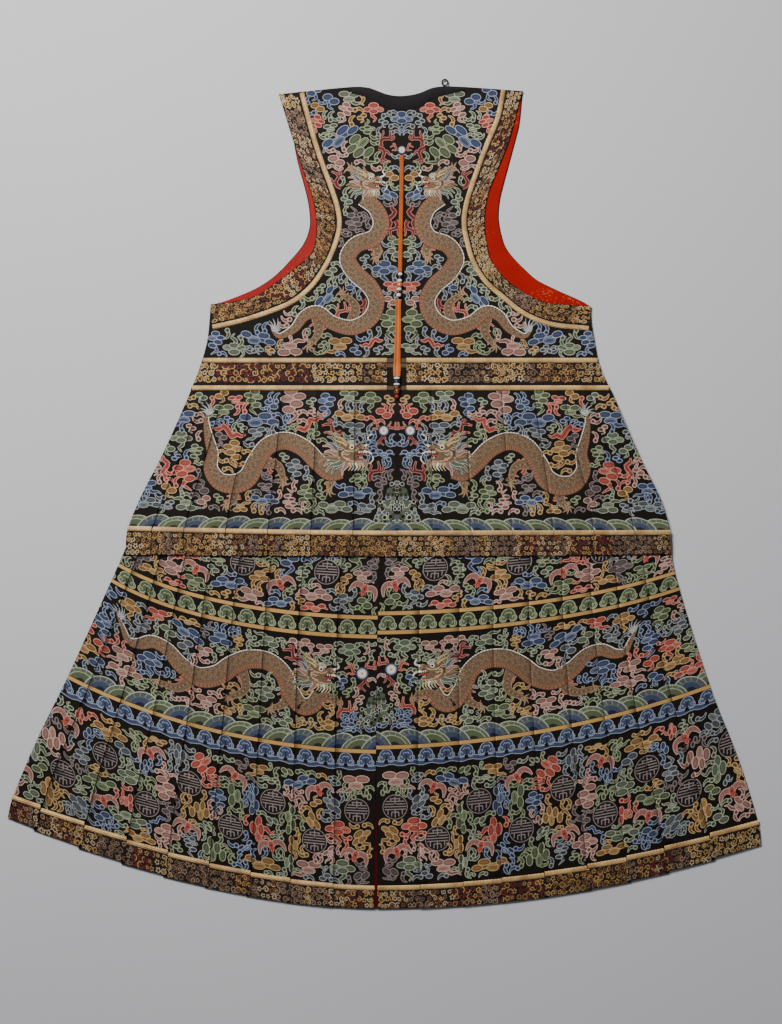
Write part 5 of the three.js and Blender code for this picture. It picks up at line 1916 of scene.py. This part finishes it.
LOWER_BEADS = (("pendant_bead_08", 4.6, 5.2, "white_bead"), ("pendant_bead_09", 5.0, 5.6, "blue_bead"),
               ("pendant_bead_10", 4.6, 5.2, "white_bead"), ("pendant_end", 14.0, 5.0, "gold_cap"),
               ("pendant_tip", 7.0, 3.4, "red_tip"))


def pendant_cord():
  """Two strands side by side, stitched together."""
  route = smooth(CORD_ROUTE, 3.0)
  path = place(route[:, 0], route[:, 1], route[:, 2])
  side, up = frames_along(path)
  a = np.linspace(0, 2 * math.pi, 28, endpoint=False)
  reach = STRAND * (1.0 + 0.6 * np.abs(np.cos(a)) ** 1.3)
  across = reach * np.cos(a)
  rise = STRAND * np.sin(a) * (0.62 + 0.38 * np.minimum(np.abs(np.cos(a)) * 2.2, 1))
  loops = [p + (np.outer(across, s) + np.outer(rise - 0.6, u)) * MM for p, s, u in zip(path, side, up)]
  return rings("pendant_cord", "orange_cord", loops), path


def pendant_tape():
  downs = np.linspace(TAPE_TOP, TAPE_FOOT, 60)
  x, half, low = (TAPE.at(c, downs) for c in ("x", "half", "low"))
  half = half * (1 + 0.04 * np.sin(downs / 9) + 0.03 * np.sin(downs / 3.7 + 1))
  path = place(x, downs, low + TAPE_CLOTH / 2)
  side, up = frames_along(path)
  a = np.linspace(0, 2 * math.pi, 24, endpoint=False)
  across = np.sign(np.cos(a)) * np.abs(np.cos(a)) ** 0.55
  rise = np.sin(a) * TAPE_CLOTH / 2 * (1 - 0.35 * np.exp(-(across / 0.16) ** 2))
  loops = [p + (np.outer(across * h, s) + np.outer(rise, u)) * MM
           for p, s, u, h in zip(path, side, up, half)]
  return rings("pendant_tape", "orange_tape", loops), path


def hang_pendant():
  upper, down = [], BEAD_START
  for k, (length, radius, finish) in enumerate(UPPER_BEADS):
    x = -2.6 - 0.07 * (down - BEAD_START)
    bead = turned_bead(f"pendant_bead_{k + 1:02d}", finish, x, down, BEAD_AXIS, length, radius, 0.62)
    upper.append(bead)
    down += length + SEAM
  lower, down = [], TAPE_FOOT + SEAM
  axis = WAIST_HIGH + SEAM + 5.6
  for name, length, radius, finish in LOWER_BEADS:
    taper = 0.5 if name == "pendant_tip" else 0.62
    lower.append(turned_bead(name, finish, -8.3, down, axis, length, radius, taper))
    down += length + SEAM
  cord, path = pendant_cord()
  tuple(path[0])
  [tuple(p) for p in path]
  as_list(upper)
  tape, path = pendant_tape()
  tuple(path[0])
  [tuple(p) for p in path]
  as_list(lower)


# ---- small pieces ----
NECK_BAND_DEPTH = 22


def neck_band():
  flat, triangles = grid(np.linspace(-84, 105, 60), np.linspace(0, 1, 7))
  low = BODICE_HIGH + LIFT

  def at(z, bulge):
    def lay(x, v):
      top = BACK_NECK.at("down", x) + 0.5
      depth = 6 + (NECK_BAND_DEPTH - 6) * (1 - np.minimum(np.abs(x - 2) / 100, 1) ** 2)
      return place(x, top + depth * v, z + bulge * np.sin(v * math.pi) + lie(x, top))
    return lay

  return one_shell("back_neck_band", "black_satin", flat, triangles, NUMBER["black"],
                   at(low + BAND_CLOTH, 0.35), at(low, 0), stretch=(1, NECK_BAND_DEPTH))


def waist_centre():
  """The strip of plain silk between the two waist bands, with a dun line near its top and its foot."""
  left, right = SEAM - STRIP_SIDE["left"], STRIP_SIDE["right"] - SEAM
  top, foot = WAIST_TOP + HALF_SEAM, WAIST_LINE - HALF_SEAM
  design = Design()
  for t in (463.0, LOWER_PIPING):
    design.stroke([(-26, t), (9, t)], 3.2, "dun")
  net = grid(np.linspace(left, right, 7), np.linspace(top, foot, 7))[0][::3]
  cell = np.array([(left, top), (right, top), (right, foot), (left, foot)])
  flat, triangles, _, thread = weave([cell], design, net)
  return one_shell("waist_centre_strip", "navy_silk", flat, triangles, thread,
                   lambda x, t: place(x, t, WAIST_HIGH), lambda x, t: place(x, t, BODICE_LOW))


def neck_loop():
  radius, thread, x, height = 4.8, 1.2, 72, 3.8
  down = float(BACK_NECK.at("down", x)) - SEAM - radius - thread
  m, n = 48, 12
  a, b = (np.linspace(0, 2 * math.pi, count, endpoint=False) for count in (m, n))
  points, faces, flat = [], [], []
  for i, u in enumerate(a):
    ring = radius + thread * np.cos(b)
    across, along = x + ring * math.cos(u), down + ring * math.sin(u) * 1.05
    points += list(place(across, along, height + thread * np.sin(b)))
    for j in range(n):
      i2, j2 = (i + 1) % m, (j + 1) % n
      faces.append((i * n + j, i * n + j2, i2 * n + j2, i2 * n + j))
      flat += [(i, j), (i, j + 1), (i + 1, j + 1), (i + 1, j)]
  mesh = mesh_of("neck_loop", np.array(points), faces)
  map_cloth(mesh, np.array(flat) * (0.63, 0.52) * MM)
  return finished("neck_loop", mesh, "black_thread", "neck_loop")


def front_button(number, down):
  """A knot button with its two loops, seen on the face that lies down."""
  reach, knot, loop = OPENING_HALF - SEAM, 4.4, 1.4
  round_off, thick = 0.55, 1.9
  a = np.linspace(-1.25, 1.25, 13)
  top = [(knot * math.sin(t), -knot * math.cos(t)) for t in a]
  foot = [(knot * math.sin(t), knot * math.cos(t)) for t in a[::-1]]
  outline = [(-reach, -loop), *top, (reach, -loop), (reach, loop), *foot, (-reach, loop)]
  net = [(r * math.cos(t), r * math.sin(t)) for r in (1.5, 3.0)
         for t in np.linspace(0, 6.28, 10, endpoint=False)]
  flat, triangles, _, _ = weave([np.array(outline)], None, net)

  def dome(s, t):
    rise = np.sqrt(np.maximum(1 - (s * s + t * t) / knot**2, 0))
    return place(s, down + t, round_off * (1 - rise))

  return one_shell(f"front_button_{number}", "gilt_brass", flat, triangles, NUMBER["gold"], dome,
                   lambda s, t: place(s, down + t, thick), up=-1)


VENT_TOP, VENT_LOW, VENT_HIGH = 1190, 2.1, 3.4


def vent_edge(name, finish, side, fan):
  """The red lining where it rolls out at the vent."""
  flat, triangles = grid(np.linspace(0, 1, 4), np.linspace(VENT_TOP, SKIRT_HEM - 1, 26))

  def at(z, bulge):
    def lay(q, t):
      width = skirt_gap(t) - SEAM - HALF_SEAM
      x = fan.shape.at("axis", t) + WAYS[side] * (HALF_SEAM + q * width)
      return place(x, t, z + bulge * np.sin(q * math.pi))
    return lay

  return one_shell(name, finish, flat, triangles, NUMBER["coral"], at(VENT_HIGH, 0.4), at(VENT_LOW, 0),
                   stretch=(3, 1))


def couch(side):
  """The small threads that hold the pipings down, over each at even steps."""
  line, _ = ARMHOLE_PIPING[side].line(ARMHOLE_STEPS)
  waist = np.linspace(STRIP_SIDE[side], float(SIDE_SEAM.at(side, WAIST_TOP)) - 4, 40)
  for name, s, down, low in (("armhole", line[2:-2, 1], line[2:-2, 0], BODICE_HIGH),
                             ("waist_upper", waist, 0 * waist + UPPER_PIPING, BODICE_HIGH),
                             ("waist_lower", waist, 0 * waist + LOWER_PIPING, WAIST_HIGH)):
    x = WAYS[side] * s
    stitched(f"{name}_stitches_{side}", "dun_thread", place(x, down, low + STITCH_LIFT + lie(x, down)))


# ---- everything sewn together ----
def sew_half(side, bodice, tier, skirt):
  """Every piece of cloth on one side of the centre back, by name."""
  left = side == "left"
  inner = STRIP_SIDE[side]
  start = WAIST_LINE + HALF_SEAM
  skirt_line, tier_line = SKIRT_SEAM - HALF_SEAM, TIER_SEAM - HALF_SEAM
  front_bodice, front_tier, front_skirt = map(without_small, (bodice, tier, skirt))
  over = {}

  def add(key, make, finish, *details, **more):
    over[key] = make(f"{key}_{side}", finish, *details, **more)

  add("front_bodice", bodice_panel, "navy_silk", side, FRONT_ARMHOLE, FRONT_NECK, OPENING_HALF,
      SIDE_EASE, front_bodice, 0, CLOTH, up=-1)
  add("front_lining", bodice_panel, "red_lining", side, FRONT_ARMHOLE, FRONT_NECK, OPENING_HALF,
      LINING_EASE, None, BODICE_LOW - SEAM, CLOTH + SEAM + LIFT)
  add("back_bodice", bodice_panel, "navy_silk", side, BACK_ARMHOLE, BACK_NECK, HALF_SEAM, 0, bodice,
      BODICE_HIGH, BODICE_LOW)
  add("armhole_band", armhole_band, "brocade", side, brocade_design(560, 34.6, 5 if left else 9))
  add("armhole_piping", armhole_piping, "gold_piping", side)
  waist = brocade_design(360, 32, 14 if left else 15)
  waist.shape([(0, 33), (370, 33), (370, 47), (0, 47)], "black")
  add("front_waist_band", waist_band, "brocade", side, OPENING_HALF, SIDE_EASE, waist, 0, CLOTH, up=-1)
  add("back_waist_band", waist_band, "brocade", side, inner, 0, waist, WAIST_HIGH, BODICE_LOW)
  add("waist_piping_upper", waist_piping, "gold_piping", side, UPPER_PIPING, BODICE_HIGH)
  add("waist_piping_lower", waist_piping, "gold_piping", side, LOWER_PIPING, WAIST_HIGH)
  tier_fan = Fan(TIER, TIER_HANG, TIER_FOLDS, side, lambda t: HALF_SEAM)
  skirt_fan = Fan(SKIRT, SKIRT_HANG, SKIRT_FOLDS, side, skirt_gap)
  under_tier = Fan(TIER, TIER_HANG, TIER_FOLDS, side, lambda t: SEAM, SIDE_EASE)
  under_skirt = Fan(SKIRT, SKIRT_HANG, SKIRT_FOLDS, side, lambda t: SEAM, SIDE_EASE)
  tier_hem = brocade_design(480, 34, 3 if left else 4)
  skirt_hem = brocade_design(670, 29, 6 if left else 7)
  add("front_tier", pleated, "navy_silk", under_tier, with_hem(front_tier, TIER_SEAM, TIER_HEM, 480, 3),
      np.linspace(start, TIER_HEM - 3, 20), front_tier_level, up=-1, plain=COARSE)
  add("front_skirt", pleated, "navy_silk", under_skirt,
      with_hem(front_skirt, SKIRT_SEAM, SKIRT_HEM, 670, 6), np.linspace(start, SKIRT_HEM - 3, 58),
      front_skirt_level, up=-1, plain=COARSE)
  add("back_skirt", pleated, "navy_silk", skirt_fan, skirt, np.linspace(start, skirt_line, 56),
      skirt_level, shift=0 if left else 7)
  add("skirt_hem_band", pleated, "brocade", skirt_fan, skirt_hem,
      np.linspace(SKIRT_SEAM + HALF_SEAM, SKIRT_HEM, 5), skirt_level, shift=-SKIRT_SEAM - 1, ground="umber")
  add("skirt_hem_piping", hem_piping, "gold_piping", skirt_fan, skirt_line, skirt_level)
  add("back_tier", pleated, "navy_silk", tier_fan, tier, np.linspace(start, tier_line, 20), tier_level)
  add("tier_hem_band", pleated, "brocade", tier_fan, tier_hem,
      np.linspace(TIER_SEAM + HALF_SEAM, TIER_HEM, 5), tier_level, shift=-TIER_SEAM - 1, ground="umber")
  add("tier_hem_piping", hem_piping, "gold_piping", tier_fan, tier_line, tier_level)
  add("vent_edge", vent_edge, "vent_lining", side, skirt_fan)
  return over


def flat_size(piece):
  """Half of a closed thin shell's surface, in square metres."""
  faces = piece.data
  area = np.zeros(len(faces.polygons), np.float32)
  faces.polygons.foreach_get("area", area)
  return float(area.sum()) / 2


def declare(piece, trims=()):
  """Measures a piece's cloth map and half its surface; the measures are not kept."""
  spots = np.zeros(len(piece.data.loops) * 2, np.float32)
  piece.data.uv_layers["Cloth"].data.foreach_get("uv", spots)
  spots = spots.reshape(-1, 2)
  width, length = (float(v) for v in spots.max(axis=0) - spots.min(axis=0))
  area = min(flat_size(piece), width * length)


def add_floor():
  size = 6.0
  corners = [(-size, -size, 0), (size, -size, 0), (size, size, 0), (-size, size, 0)]
  mesh = mesh_of("pale_floor", corners, [(0, 1, 2, 3)])
  floor = stood("pale_floor", mesh)
  floor.location.z = -0.0006
  f = Finish("pale_paper", Roughness=0.85)
  paper = f.noise(f.here(900.0), 3.0)
  colour = f.mix(f.noise(f.here(1.2)), dye(201, 202, 206), dye(195, 196, 201))
  f.relief(paper, 0.08, 0.0005)
  mesh.materials.append(f.done(Base_Color=colour))
  return floor


def add_light(name, where, towards, size, power, tint):
  lamp = bpy.data.lights.new(name, "AREA")
  lamp.shape, lamp.size, lamp.energy, lamp.color = "DISK", size, power, tint
  stand = stood(name, lamp)
  stand.location = where
  stand.rotation_euler = (Vector(towards) - Vector(where)).to_track_quat("-Z", "Y").to_euler()
  return stand


def add_studio():
  world = bpy.data.worlds.new("studio")
  world.use_nodes = True
  sky = world.node_tree.nodes["Background"].inputs
  sky["Color"].default_value = (0.92, 0.94, 1.0, 1.0)
  sky["Strength"].default_value = 0.1
  bpy.context.scene.world = world
  key = add_light("key_light", (-1.0, 1.85, 2.5), (-0.2, 0.3, 0), 1.4, 157, (1.0, 0.985, 0.96))
  fill = add_light("fill_light", (2.2, 1.0, 3.6), (0.2, 0.1, 0), 2.6, 8, (0.95, 0.97, 1.0))
  return key, fill


add_camera()
hang_pendant()
BODICE, TIER_CLOTH, SKIRT_CLOTH = bodice_design(), tier_design(), skirt_design()
halves = {side: sew_half(side, BODICE, TIER_CLOTH, SKIRT_CLOTH) for side in WAYS}
neck, strip = neck_band(), waist_centre()
neck_loop()
for number, down in enumerate((130, 225, 320, 415), 1):
  front_button(number, down)
for side in WAYS:
  couch(side)
TRIMS = {"back_bodice": ("armhole_piping", "waist_piping_upper"), "back_waist_band": ("waist_piping_lower",),
         "back_skirt": ("skirt_hem_piping", "vent_edge"), "back_tier": ("tier_hem_piping",)}
BELOW = {"front_bodice": None, "front_waist_band": None, "front_tier": None, "front_lining": "front_bodice",
         "back_bodice": "front_lining", "armhole_band": "back_bodice", "back_waist_band": "front_waist_band",
         "front_skirt": "front_tier", "back_skirt": "front_skirt", "skirt_hem_band": "front_skirt",
         "back_tier": "back_skirt", "tier_hem_band": "back_skirt"}
for over in halves.values():
  for key, below in BELOW.items():
    declare(over[key],
            [over[trim] for trim in TRIMS.get(key, ())])
declare(neck)
declare(strip)
floor = add_floor()
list(add_studio())
